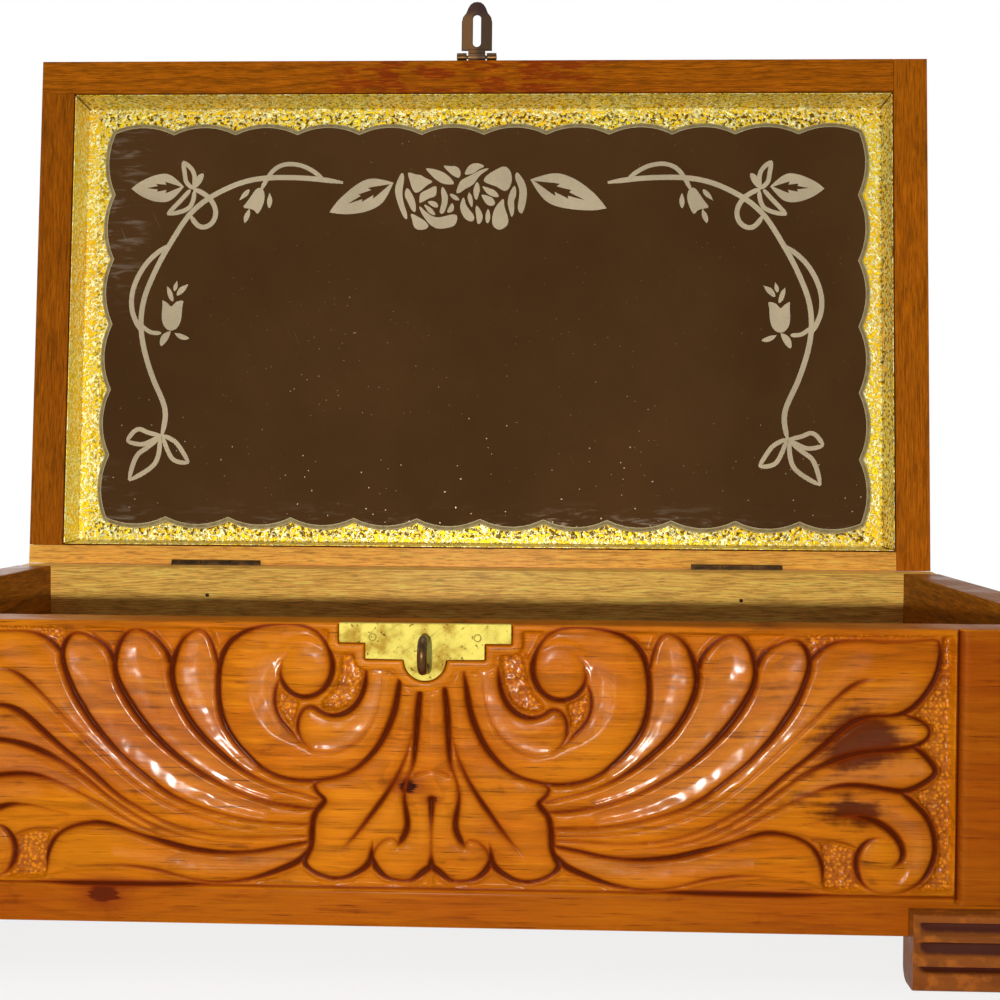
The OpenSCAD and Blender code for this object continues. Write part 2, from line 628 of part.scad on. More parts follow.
module lid_panel() color("peru") lid_place() difference() {
    translate([-box_w / 2, -box_d, seat_gap + lid_frame_h]) cube([box_w, box_d, lid_panel_t]);
    at_panel_brads() panel_brad(fast_fit);
    at_lid_tacks() tack_hole(lid_tack);
    at_hasp_tacks() tack_hole(hasp_tack);
}

module lid_corner_nails() color("dimgray") lid_place() at_lid_nails() box_nail();
module lid_panel_brads() color("dimgray") lid_place() at_panel_brads() panel_brad();

// A mitred strip along X whose outer edge lies on the X axis, of width w, from z0 to z1
module mitred(length, w, z0, z1) translate([0, 0, z0]) linear_extrude(height = z1 - z0)
    polygon([[-length / 2, 0], [length / 2, 0], [length / 2 - w, w], [-length / 2 + w, w]]);

// A foil strip with mitred ends: its floor and its upright, along one side of the recess
module foil_strip(length, turn, dx, dy) lid_place() translate([dx, dy, 0]) rotate([0, 0, turn]) {
    mitred(length, foil_floor_w, floor_z, floor_z + foil_t);
    mitred(length, foil_t, seat_gap + 0.4, floor_z);
}
module foil_front() color("gold") foil_strip(foil_w, 0, 0, recess_y - foil_d / 2);
module foil_back() color("gold") foil_strip(foil_w, 180, 0, recess_y + foil_d / 2);
module foil_left() color("gold") foil_strip(foil_d, -90, -foil_w / 2, recess_y);
module foil_right() color("gold") foil_strip(foil_d, 90, foil_w / 2, recess_y);

module mirror_backing() color("tan") lid_place() translate([0, recess_y, floor_z + foil_t / 2])
    cube([foil_w - 2 * foil_floor_w - 0.6, foil_d - 2 * foil_floor_w - 0.6, foil_t], center = true);

module mirror_outline() {
    a = [-mirror_w / 2, -mirror_h / 2];
    b = [mirror_w / 2, -mirror_h / 2];
    c = [mirror_w / 2, mirror_h / 2];
    d = [-mirror_w / 2, mirror_h / 2];
    polygon(concat(scalloped_side(a, d, scallops_h), scalloped_side(d, c, scallops_w),
        scalloped_side(c, b, scallops_h), scalloped_side(b, a, scallops_w)));
}

module mirror_glass() color("dimgray") lid_place()
    translate([mirror_dx, recess_y + mirror_dy, floor_z - mirror_t])
        linear_extrude(height = mirror_t) mirror_outline();

// Knuckles of the hasp, with the fixed plate on the lid
module hasp_knuckle(x0, x1, fit) translate([x0, 0, 0]) rotate([0, 90, 0]) difference() {
    cylinder(r = hasp_knuckle_r, h = x1 - x0);
    translate([0, 0, -1]) cylinder(r = hasp_pin_r + fit, h = x1 - x0 + 2);
}

module hasp_plate() color("saddlebrown") lid_place() difference() {
    hasp_place() {
        translate([-hasp_w / 2, hasp_off - hasp_t, hasp_plate_start])
            cube([hasp_w, hasp_t, hasp_plate_h - hasp_plate_start]);
        for (s = [-1, 1]) {
            x0 = s < 0 ? -hasp_w / 2 : hasp_mid_w / 2 + knuckle_gap;
            x1 = s < 0 ? -hasp_mid_w / 2 - knuckle_gap : hasp_w / 2;
            hasp_knuckle(x0, x1, fast_fit);
            difference() {
                translate([x0, hasp_off - hasp_t, 0]) cube([x1 - x0, hasp_t, hasp_plate_start]);
                translate([x0 - 1, 0, 0]) rotate([0, 90, 0])
                    cylinder(r = hasp_knuckle_r - 0.2, h = x1 - x0 + 2);
            }
        }
    }
    at_hasp_tacks() tack_hole(hasp_tack);
}

module hasp_pin() color("saddlebrown") lid_place() hasp_place() translate([-hasp_w / 2 - 0.1, 0, 0])
    rotate([0, 90, 0]) cylinder(r = hasp_pin_r, h = hasp_w + 0.2);

module hasp_tacks() color("saddlebrown") lid_place() at_hasp_tacks() tack(hasp_tack);

// Leaf of the hasp, straight out from the lid: a shouldered plate with a slot for the staple
module hasp_leaf() color("saddlebrown") lid_place() hasp_place() {
    tip_r = hasp_leaf_w * 0.4;
    shoulder = hasp_reach * 0.7;
    slot_r = hasp_slot_w / 2;
    translate([0, 0, -hasp_leaf_back]) linear_extrude(height = hasp_t) difference() {
        union() {
            translate([-hasp_mid_w / 2, -hasp_plate_start - 0.2])
                square([hasp_mid_w, hasp_plate_start - hasp_knuckle_r * 0.6]);
            translate([-hasp_leaf_w / 2, -shoulder]) square([hasp_leaf_w, shoulder - hasp_plate_start]);
            translate([0, -hasp_reach + tip_r]) circle(r = tip_r);
            translate([-tip_r, -hasp_reach + tip_r]) square([2 * tip_r, hasp_reach - tip_r - shoulder + 0.5]);
        }
        translate([0, -hasp_slot_near - slot_r]) circle(r = slot_r);
        translate([0, -hasp_slot_near - hasp_slot_len + slot_r]) circle(r = slot_r);
        translate([-slot_r, -hasp_slot_near - hasp_slot_len + slot_r])
            square([hasp_slot_w, hasp_slot_len - hasp_slot_w]);
    }
    hasp_knuckle(-hasp_mid_w / 2, hasp_mid_w / 2, turn_fit);
    difference() {
        translate([-hasp_mid_w / 2, -hasp_plate_start, -hasp_leaf_back])
            cube([hasp_mid_w, hasp_plate_start, hasp_t]);
        translate([-hasp_w, 0, 0]) rotate([0, 90, 0]) cylinder(r = hasp_knuckle_r - 0.2, h = 2 * hasp_w);
    }
}

front_board();
back_board();
left_board();
right_board();
bottom_board();
box_corner_nails();
bottom_brads();
foot_front_left();
foot_front_left_return();
foot_front_right();
foot_front_right_return();
foot_back_left();
foot_back_left_return();
foot_back_right();
foot_back_right_return();
lock_plate();
lock_plate_pins();
staple();
hinge_left_box_leaf();
hinge_right_box_leaf();
hinge_left_pin();
hinge_right_pin();
hinge_box_tacks();
lid_front_rail();
lid_back_rail();
lid_left_stile();
lid_right_stile();
lid_panel();
lid_corner_nails();
lid_panel_brads();
foil_front();
foil_back();
foil_left();
foil_right();
mirror_backing();
mirror_glass();  // mirror
hinge_left_lid_leaf();
hinge_right_lid_leaf();
hinge_lid_tacks();
hasp_plate();
hasp_pin();
hasp_tacks();
hasp_leaf();
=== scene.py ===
"""Vanity box of varnished wood with a carved front, a hinged lid and an etched, scalloped mirror.

Every shape is worked out here as whole arrays of points, in metres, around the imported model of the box.
"""

import json
import math

import bpy
import numpy as np
from bpy.props import FloatProperty, FloatVectorProperty, PointerProperty
from bpy.types import Operator, Panel, PropertyGroup
from mathutils import Matrix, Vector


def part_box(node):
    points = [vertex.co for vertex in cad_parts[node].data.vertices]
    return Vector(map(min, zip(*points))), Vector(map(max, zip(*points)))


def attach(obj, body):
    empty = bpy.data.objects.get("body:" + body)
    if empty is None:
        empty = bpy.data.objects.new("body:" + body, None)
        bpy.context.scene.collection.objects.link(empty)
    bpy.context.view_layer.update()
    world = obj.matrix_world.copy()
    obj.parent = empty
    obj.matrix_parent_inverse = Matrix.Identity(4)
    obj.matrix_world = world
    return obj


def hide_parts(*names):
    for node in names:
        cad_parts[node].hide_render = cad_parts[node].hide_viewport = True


bl_info = {
    "name": "Carved vanity box",
    "version": (1, 0, 0),
    "blender": (4, 5, 0),
    "location": "3D View > Sidebar > Vanity box",
    "description": "Builds the looks of a carved vanity box with an etched mirror in its lid",
    "category": "Add Mesh",
}

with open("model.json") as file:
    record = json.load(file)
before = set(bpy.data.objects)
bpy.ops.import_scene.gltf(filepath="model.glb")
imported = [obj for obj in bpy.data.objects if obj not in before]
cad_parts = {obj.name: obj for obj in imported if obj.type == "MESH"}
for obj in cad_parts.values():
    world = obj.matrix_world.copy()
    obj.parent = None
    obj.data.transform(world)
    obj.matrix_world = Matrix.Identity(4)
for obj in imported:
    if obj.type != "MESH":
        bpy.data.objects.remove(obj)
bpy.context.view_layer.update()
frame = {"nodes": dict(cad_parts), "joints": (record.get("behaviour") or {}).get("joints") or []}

MM, PER_M = 0.001, 1000.0  # a millimetre in metres, and millimetres in a metre


def corners(node):
    """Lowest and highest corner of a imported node, as two arrays."""
    low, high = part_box(node)
    return np.array(low), np.array(high)


JOINTS = {joint["name"]: joint for joint in frame["joints"]}
HINGE = np.array(JOINTS["lid_hinge"]["pos_m"])
LID_OPEN = math.radians(JOINTS["lid_hinge"]["range_deg"][1])
HASP_AXIS = np.array(JOINTS["hasp_hinge"]["pos_m"])


def turned(points, angle):
    """Points turned about the X axis: y and z mix by the angle's cosine and sine."""
    c, s = math.cos(angle), math.sin(angle)
    x, y, z = np.moveaxis(np.asarray(points, float), -1, 0)
    return np.stack([x, c * y - s * z, s * y + c * z], -1)


def open_lid(points):
    """From the closed lid's own frame, whose origin is the hinge axis, to the open lid's place."""
    return HINGE + turned(points, -LID_OPEN)


def closed_lid(points):
    """From the open lid's place back to the closed lid's own frame."""
    return turned(np.asarray(points) - HINGE, LID_OPEN)


def lid_points(node):
    """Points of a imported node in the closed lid's own frame."""
    mesh = frame["nodes"][node].data
    flat = np.zeros(3 * len(mesh.vertices), np.float32)
    mesh.vertices.foreach_get("co", flat)
    return closed_lid(flat.reshape(-1, 3))


def lid_corners(node):
    """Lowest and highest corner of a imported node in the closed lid's own frame."""
    points = lid_points(node)
    return points.min(0), points.max(0)


def rectangle(low, high, first=0, second=1, start=0):
    """The four corners of a box's section across two of its axes, anticlockwise from the corner numbered
    start."""
    corner = np.array([[low[first], low[second]], [high[first], low[second]],
                       [high[first], high[second]], [low[first], high[second]]])
    return np.roll(corner, -start, 0)


FRONT_LOW, FRONT_HIGH = corners("front_board")
BACK_LOW, BACK_HIGH = corners("back_board")
FLOOR_LOW, FLOOR_HIGH = corners("bottom_board")
FRONT_Y, RIM_Z = FRONT_LOW[1], FRONT_HIGH[2]
HAIR = 0.05 * MM  # the wood lies this much below the nail heads
GROUND_MM, GROOVE_MM = 2.3, 1.7  # depths that the carving's outlines are drawn for


def srgb(red, green, blue):
    """A colour given from 0 to 255 as it looks on a screen, as linear light."""
    c = np.array([red, green, blue]) / 255
    return tuple(float(v) for v in np.where(c <= 0.04045, c / 12.92, ((c + 0.055) / 1.055) ** 2.4))


# Sizes and colours that a user would change


def colour_setting(name, description, *rgb):
    """A colour, with its default from 0 to 255 as it looks on a screen."""
    return FloatVectorProperty(name=name, description=description, subtype="COLOR", size=3, min=0, max=1,
                               default=srgb(*rgb))


def length_setting(name, description, default, low, high):
    """A length, with its default and limits in millimetres."""
    return FloatProperty(name=name, description=description, subtype="DISTANCE", unit="LENGTH",
                         default=default * MM, min=low * MM, max=high * MM)


class WoodSettings(PropertyGroup):
    """Colours of the wood and how far its edges are eased."""

    front: colour_setting("Front", "Varnish colour of the carved front", 163, 88, 5)
    grooves: colour_setting("Grooves", "Stain that has gathered in the carving's grooves", 108, 37, 5)
    pale: colour_setting("Pale wood", "Colour of the back board and of the lid's back rail", 252, 192, 94)
    lid: colour_setting("Lid", "Colour of the lid's frame", 180, 99, 10)
    box: colour_setting("Box", "Colour of the side and bottom boards", 150, 88, 18)
    feet: colour_setting("Feet", "Colour of the reeded feet", 120, 65, 14)
    edge: length_setting("Eased edge", "How far the boards' edges are rounded over", 0.5, 0.1, 2)


class CarvingSettings(PropertyGroup):
    """Depths of the carved front."""

    ground: length_setting("Ground", "Depth of the punched ground below the face", GROUND_MM, 1, 3.5)
    groove: length_setting("Groove", "Depth of the grooves that part the leaves", GROOVE_MM, 0.5, 3)
    cell: length_setting("Grid", "Distance between the points of the carved surface", 0.29, 0.27, 2)


class MirrorSettings(PropertyGroup):
    """The glass and its etched ornament."""

    # The tint's dark brown also paints the reflection of a dark room.
    tint: colour_setting("Tint", "Tint of the mirror", 73, 48, 25)
    etching: colour_setting("Etching", "Colour of the etched ornament", 215, 198, 165)
    ground_edge: length_setting("Ground edge", "Width of the mirror's ground edge", 1.5, 0.3, 4)


class MetalSettings(PropertyGroup):
    """Colours of the fittings and of the foil."""

    brass: colour_setting("Brass", "Colour of the lock plate", 168, 156, 76)
    bronze: colour_setting("Bronze", "Colour of the darkened hasp, staple and hinges", 80, 54, 25)
    foil: colour_setting("Foil", "Colour of the embossed foil", 250, 218, 48)


class StageSettings(PropertyGroup):
    """Levels of the studio light."""

    key: FloatProperty(name="Key light", description="Power of the light beside the camera",
                       subtype="POWER", unit="POWER", default=1.4, min=0, max=50)
    sky: FloatProperty(name="Sky", description="Strength of the light from all sides",
                       subtype="FACTOR", default=0.15, min=0, max=2)


class BoxSettings(PropertyGroup):
    """All settings of the vanity box."""

    wood: PointerProperty(type=WoodSettings, name="Wood", description="The wood")
    carving: PointerProperty(type=CarvingSettings, name="Carving", description="The carved front")
    mirror: PointerProperty(type=MirrorSettings, name="Mirror", description="The mirror")
    metal: PointerProperty(type=MetalSettings, name="Metal", description="Fittings and foil")
    stage: PointerProperty(type=StageSettings, name="Stage", description="Light")


def settings():
    """The scene's settings of the box."""
    return bpy.context.scene.vanity_box


# Meshes from arrays of points


def quads(rows, columns, closed=True):
    """Faces of a grid: each joins a point to the next in its row and to the two below; closed rows end
    where they start."""
    r, c = np.meshgrid(np.arange(rows - 1), np.arange(columns if closed else columns - 1), indexing="ij")
    right = (c + 1) % columns
    above, below = r * columns, (r + 1) * columns
    return np.stack([above + c, above + right, below + right, below + c], -1).reshape(-1, 4)


def signed_volume(points, sides):
    """Six times the volume between the origin and quads, positive where they face away from it."""
    a, b, c, d = (points[sides[:, k]] for k in range(4))
    return (np.cross(a, b) * c).sum() + (np.cross(a, c) * d).sum()


def loft(rings):
    """A closed skin over rings of points, given as station, point, xyz: quads join each ring to the next
    and one flat face closes each end. The faces are turned outwards where the skin's signed volume comes
    out negative."""
    rings = np.asarray(rings, float)
    count, size = rings.shape[:2]
    points = rings.reshape(-1, 3)
    sides = quads(count, size)
    ends = [np.arange(size)[::-1], np.arange(size) + (count - 1) * size]
    volume = signed_volume(points, sides)
    for end in ends:
        p = points[end]
        volume += (np.cross(p[1:-1], p[2:]) * p[0]).sum()
    faces = sides.tolist() + [end.tolist() for end in ends]
    if volume < 0:
        faces = [face[::-1] for face in faces]
    return points, faces


def at_level(outline, level):
    """An outline in the plane, raised to a level."""
    return np.column_stack([outline, np.full(len(outline), level)])


def joined(parts):
    """Several skins as one: the faces' numbers move up by the points that come before."""
    starts = np.cumsum([0] + [len(points) for points, _ in parts])
    faces = [[int(i + start) for i in face] for start, (_, part) in zip(starts, parts) for face in part]
    return np.concatenate([points for points, _ in parts]), faces


def add_piece(name, skin, materials, body, nodes=(), sharp=35, layers=None, second=None, flat=False):
    """Makes a piece of a skin: puts it into a mesh, marks edges over the sharp angle, stores point layers
    and gives the faces in second the second material. With flat, large faces keep their flat shading beside
    rounded edges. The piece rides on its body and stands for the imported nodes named."""
    points, faces = skin
    mesh = bpy.data.meshes.new(name)
    mesh.from_pydata(points, [], faces)
    for material in materials:
        mesh.materials.append(material)
    mesh.polygons.foreach_set("use_smooth", np.ones(len(mesh.polygons), bool))
    if second is not None:
        mesh.polygons.foreach_set("material_index", np.asarray(second, np.int32))
    for layer, values in (layers or {}).items():
        attribute = mesh.attributes.new(layer, "FLOAT", "POINT")
        attribute.data.foreach_set("value", np.asarray(values, np.float32).ravel())
    mesh.set_sharp_from_angle(angle=math.radians(sharp))
    mesh.update()
    piece = bpy.data.objects.new(name, mesh)
    bpy.context.scene.collection.objects.link(piece)
    if flat:
        piece.modifiers.new("flat_faces", "WEIGHTED_NORMAL").keep_sharp = True
    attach(piece, body)
    if nodes:
        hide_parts(*nodes)
    return piece


def dress(node, material):
    """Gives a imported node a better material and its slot's name."""
    mesh = frame["nodes"][node].data
    mesh.materials.clear()
    mesh.materials.append(material)


def unit(vectors):
    """Vectors scaled to the length 1."""
    return vectors / np.maximum(np.linalg.norm(vectors, axis=-1, keepdims=True), 1e-12)


def left_of(vectors):
    """Vectors in the plane turned by a right angle to their left."""
    return np.stack([-vectors[..., 1], vectors[..., 0]], -1)


def crossed(a, b):
    """Cross product of vectors in the plane."""
    return a[..., 0] * b[..., 1] - a[..., 1] * b[..., 0]


def parabola(start, middle, end, s):
    """Points of the parabolas from start to end that middle pulls, at the shares s of the way."""
    s = s[None, :, None]
    return start[:, None] * (1 - s) ** 2 + 2 * s * (1 - s) * middle[:, None] + end[:, None] * s ** 2


def eased(outline, ease, steps=3):
    """A closed outline with rounded corners: each corner becomes a short parabola that leaves its two sides
    at the distance ease from the corner, one number or one for each corner, and at most 0.4 of the shorter
    side."""
    p = np.asarray(outline, float)
    before, after = np.roll(p, 1, 0) - p, np.roll(p, -1, 0) - p
    one, other = (np.linalg.norm(side, axis=1, keepdims=True) for side in (before, after))
    ease = np.broadcast_to(np.asarray(ease, float), len(p))[:, None]
    ease = np.minimum(ease, 0.4 * np.minimum(one, other))
    before, after = before / one * ease, after / other * ease
    return parabola(p + before, p, p + after, np.linspace(0, 1, steps + 1)).reshape(-1, 2)


def inset(outline, distance):
    """A closed outline moved towards its left side: each point moves along the mean of its two sides'
    normals, further where the corner is tight."""
    p = np.asarray(outline, float)
    normal = left_of(unit(np.roll(p, -1, 0) - p))
    mean = unit(normal + np.roll(normal, 1, 0))
    stretch = np.clip((mean * normal).sum(1), 0.4, 1)
    return p + mean * distance / stretch[:, None]


def around(outline):
    """The outline in the order that has its inside on the left."""
    p = np.asarray(outline, float)
    return p if crossed(p, np.roll(p, -1, 0)).sum() > 0 else p[::-1]


def smooth_curve(points, closed=False, steps=5):
    """A quadratic B-spline: it runs through the middles of the sides between the points, and an open one
    starts and ends at its first and last point."""
    p = np.asarray(points, float)
    if closed:
        start, end = (p + np.roll(p, 1, 0)) / 2, (p + np.roll(p, -1, 0)) / 2
        middle = p
    else:
        between = (p[1:-2] + p[2:-1]) / 2
        start, middle, end = np.concatenate([p[:1], between]), p[1:-1], np.concatenate([between, p[-1:]])
    curve = parabola(start, middle, end, np.linspace(0, 1, steps, endpoint=False)).reshape(-1, p.shape[1])
    return curve if closed else np.concatenate([curve, p[-1:]])


def sides_of(curve, half_width):
    """The two sides of a curve in the plane: each point moved across the curve by its half width, both
    ways."""
    across = left_of(unit(np.gradient(curve, axis=0))) * half_width[:, None]
    return curve + across, curve - across


def tube(path, radius, sides=18):
    """A round tube along a path: rings square to the path, each turned no more than the path itself
    turns."""
    along = unit(np.gradient(path, axis=0))
    side = np.cross(along[0], [0.31, 0.52, 0.8])
    across = []
    for direction in along:
        side = unit(side - direction * (side @ direction))
        across.append(side)
    across = np.array(across)
    third = np.cross(along, across)
    angle = (np.arange(sides) * 2 * math.pi / sides)[:, None]
    return loft(path[:, None] + radius * (across[:, None] * np.cos(angle) + third[:, None] * np.sin(angle)))


def bounded(values):
    """Values kept from 0 to 1."""
    return np.clip(values, 0, 1)


def lattice_noise(x, y, cell, seed):
    """Smooth noise between -1 and 1: random heights on a square lattice, blended between its points by
    3t^2 - 2t^3."""
    rng = np.random.default_rng(seed)
    u, v = x / cell, y / cell
    i, j = np.floor(u).astype(int), np.floor(v).astype(int)
    table = rng.uniform(-1, 1, (i.max() - i.min() + 2, j.max() - j.min() + 2))
    s, t = u - i, v - j
    i, j = i - i.min(), j - j.min()
    s, t = s * s * (3 - 2 * s), t * t * (3 - 2 * t)
    low = table[i, j] * (1 - s) + table[i + 1, j] * s
    high = table[i, j + 1] * (1 - s) + table[i + 1, j + 1] * s
    return low * (1 - t) + high * t


# Materials


def maths(operation, swapped=False):
    """A method that adds a Math node for two values, which it can swap."""

    def method(self, other):
        first, second = (other, self) if swapped else (self, other)
        return self.shader.add("ShaderNodeMath", {"operation": operation}, {0: first, 1: second})

    return method


class Value:
    """One output of a shader node; sums, products and powers of it add Math nodes."""

    def __init__(self, shader, socket):
        self.shader, self.socket = shader, socket

    __add__, __radd__ = maths("ADD"), maths("ADD", True)
    __sub__, __rsub__ = maths("SUBTRACT"), maths("SUBTRACT", True)
    __mul__, __rmul__ = maths("MULTIPLY"), maths("MULTIPLY", True)
    __truediv__, __pow__ = maths("DIVIDE"), maths("POWER")


class Shader:
    """A material, or the world, under construction."""

    def __init__(self, name, world=False):
        self.material = (bpy.data.worlds if world else bpy.data.materials).new(name)
        self.material.use_nodes = True
        self.tree = self.material.node_tree
        self.tree.nodes.clear()

    def add(self, kind, options=None, inputs=None, output=0):
        """Makes a node: its settings first, then the values or links of its sockets. Returns one output."""
        node = self.tree.nodes.new(kind)
        for key, value in (options or {}).items():
            setattr(node, key, value)
        for key, value in (inputs or {}).items():
            socket = node.inputs[key]
            if isinstance(value, Value):
                self.tree.links.new(value.socket, socket)
            else:
                socket.default_value = (*value, 1) if socket.type == "RGBA" else value
        return Value(self, node.outputs[output]) if node.outputs else None

    def place(self):
        """Object coordinates, in metres."""
        return self.add("ShaderNodeTexCoord", output="Object")

    def dot(self, vector, axis):
        """How far a vector reaches along an axis."""
        return self.add("ShaderNodeVectorMath", {"operation": "DOT_PRODUCT"}, {0: vector, 1: axis}, "Value")

    def vector(self, x, y, z):
        return self.add("ShaderNodeCombineXYZ", None, {0: x, 1: y, 2: z})

    def noise(self, vector, scale=1.0, detail=2.0, roughness=0.5, distortion=0.0):
        return self.add("ShaderNodeTexNoise", None, {
            "Vector": vector, "Scale": scale, "Detail": detail, "Roughness": roughness,
            "Distortion": distortion})

    def grain(self, x, y, z, detail=2.0, roughness=0.5, distortion=0.0):
        """Noise whose three coordinates are each stretched as they come."""
        return self.noise(self.vector(x, y, z), 1.0, detail, roughness, distortion)

    def cells(self, vector, scale):
        """Distance to the nearest of many random points."""
        return self.add("ShaderNodeTexVoronoi", None, {"Vector": vector, "Scale": scale}, "Distance")

    def step(self, value, low, high, to_low=0.0, to_high=1.0):
        """A soft step from to_low to to_high between low and high."""
        return self.add("ShaderNodeMapRange", {"interpolation_type": "SMOOTHSTEP"}, {
            "Value": value, "From Min": low, "From Max": high, "To Min": to_low, "To Max": to_high})

    def spread(self, noise, low, high):
        """A noise, most of which lies between 0.3 and 0.7, spread out from low to high."""
        return self.step(noise, 0.3, 0.7, low, high)

    def fraction(self, value):
        return self.add("ShaderNodeMath", {"operation": "FRACT"}, {0: value})

    def mix(self, factor, first, second):
        """A colour between two colours."""
        return self.add("ShaderNodeMix", {"data_type": "RGBA"}, {0: factor, 6: first, 7: second}, 2)

    def over(self, base, *coats):
        """A base colour under coats: where a value goes from low to high, a share of the coat's colour
        shows."""
        for value, low, high, share, colour in coats:
            base = self.mix(self.step(value, low, high) * share, base, colour)
        return base

    def layer(self, name):
        """A number stored with the mesh's points."""
        return self.add("ShaderNodeAttribute", {"attribute_name": name}, output="Fac")

    def bump(self, height, distance, strength=1.0, normal=None):
        inputs = {"Height": height, "Distance": distance, "Strength": strength}
        if normal is not None:
            inputs["Normal"] = normal
        return self.add("ShaderNodeBump", None, inputs)

    def surface(self, **sockets):
        """A Principled shader; the keywords are its sockets with lines for spaces."""
        return self.add("ShaderNodeBsdfPrincipled", None,
                        {key.replace("_", " "): value for key, value in sockets.items()})

    def finish(self, **sockets):
        """Ends the material in one Principled shader."""
        return self.ended(self.surface(**sockets))

    def ended(self, surface, kind="Material"):
        """Ends the material, or the world, in its output."""
        self.add("ShaderNodeOutput" + kind, None, {"Surface": surface})
        return self.material

    def seen(self):
        """1 for rays from the camera, reflected rays and transmitted rays, else 0."""
        camera, glossy, through = (self.add("ShaderNodeLightPath", output=f"Is {kind} Ray")
                                   for kind in ("Camera", "Glossy", "Transmission"))
        return self.add("ShaderNodeMath", {"operation": "ADD", "use_clamp": True},
                        {0: camera + glossy, 1: through})


X, Y, Z = (1.0, 0.0, 0.0), (0.0, 1.0, 0.0), (0.0, 0.0, 1.0)
LID_Y = tuple(turned(Y, -LID_OPEN))
LID_Z = tuple(turned(Z, -LID_OPEN))


def tone(colour, *factors):
    """A colour times one factor, or one for red, green and blue each, kept under 1."""
    return tuple(min(1.0, float(c) * k) for c, k in zip(colour, factors * (4 - len(factors))))


def wood_nodes(shader, colour, axes, pith, ring, contrast=1.0, warp=None):
    """Grain of a board cut from a log: years are rings around a pith line along the grain, drawn by the
    fraction of the distance from it over the ring width; fine fibres and pores are noise stretched along
    the grain. Returns the colour, the height of the fibres and the place."""
    place = shader.place()
    along, across, through = (shader.dot(place, axis) * PER_M for axis in axes)
    sway = shader.grain(along * 0.009, across * 0.035, through * 0.035, 3.0)
    radius = ((across - pith[0]) ** 2 + (through - pith[1]) ** 2) ** 0.5 + sway * 16.0
    if warp is not None:
        radius = radius + warp(shader, place)
    year = shader.fraction(radius / ring)
    late = shader.step(year, 0.3, 0.93) * shader.step(year, 0.93, 1.0, 1.0, 0.0)
    fibre = shader.grain(along * 0.05, across * 2.4, through * 2.4, 4.0, 0.6)
    pores = shader.step(shader.grain(along * 0.22, across * 7, through * 7), 0.62, 0.74)
    cloud = shader.grain(along * 0.012, across * 0.05, through * 0.05, 3.0, 0.55)
    dark = late * (0.6 * contrast) + shader.step(fibre, 0.35, 0.75) * 0.3
    wood = shader.mix(dark, tone(colour, 1.12), tone(colour, 0.52))
    wood = shader.over(wood, (cloud, 0.35, 0.7, 0.55 * contrast, tone(colour, 0.78, 0.55, 0.42)))
    wood = shader.mix(pores * 0.35, wood, tone(colour, 0.25))
    return wood, fibre - pores * 0.5 + late * 0.2, place


def wood_material(name, colour, axes, pith=(40.0, 60.0), ring=2.4, gloss=0.34, contrast=1.0, mottle=0.0):
    """Varnished wood without carving: streaks and fine threads run along the grain, and mottle makes
    streaky dark red patches around the middle."""
    shader = Shader(name)
    wood, height, place = wood_nodes(shader, colour, axes, pith, ring, contrast)
    along, across, through = (shader.dot(place, axis) for axis in axes)
    streak = shader.grain(along * 55.0, across * 420.0, 1.0, 4.0, 0.62)
    wood = shader.over(wood, (streak, 0.52, 0.68, 0.58, tone(colour, 0.42)),
                       (streak, 0.46, 0.32, 0.5, tone(colour, 1.5)))
    if mottle:
        x = shader.dot(place, X)
        patch = shader.grain(x * 70.0, across * 240.0, 5.0, 3.0, 0.6)
        near = shader.step((x + 0.004) ** 2.0, 0.0036, 0.001)
        patch = shader.step(patch + near * 0.12, 0.57, 0.66) * near
        wood = shader.mix(patch * mottle, wood, srgb(140, 42, 10))
    thread = shader.grain(along * 150.0, across * 1900.0, through * 1900.0, 3.0, 0.65)
    wood = shader.over(wood, (thread, 0.5, 0.66, 0.7, tone(colour, 0.4)),
                       (thread, 0.46, 0.34, 0.5, tone(colour, 1.6)))
    rough = shader.spread(shader.noise(place, 60.0, 4.0), gloss - 0.06, gloss + 0.16)
    return shader.finish(Base_Color=wood, Roughness=rough, Normal=shader.bump(height, 0.05 * MM, 0.7),
                         Specular_IOR_Level=0.02, Coat_Weight=0.06, Coat_Roughness=0.25)


# Knots and stained spots in the carved front, in millimetres from the middle of the rim: place across,
# place up and radius
FRONT_KNOTS = ((-4.8, -35.6, 2.0), (0.5, -38.4, 1.0), (-71.6, -60.2, 3.1))
FRONT_STAINS = ((92.0, -25.0, 19.0), (89.0, -39.0, 11.0))


def near_spot(shader, place, spot, reach):
    """1 at a spot of the front and 0 at the distance reach from it along the grain, all in millimetres.
    Across the grain it fades 1.7 times as fast."""
    dx = shader.dot(place, X) * PER_M - spot[0]
    dz = (shader.dot(place, Z) * PER_M - (RIM_Z * PER_M + spot[1])) * 1.7
    return shader.step((dx ** 2.0 + dz ** 2.0) ** 0.5, 0.0, reach, 1.0, 0.0)


def knot_warp(shader, place):
    """How far the rings swell around the knots, in millimetres: most around the first."""
    swell = near_spot(shader, place, FRONT_KNOTS[0], 12.0) * 5.0
    for knot in FRONT_KNOTS[1:]:
        swell = swell + near_spot(shader, place, knot, knot[2] * 8) * 4.0
    return swell


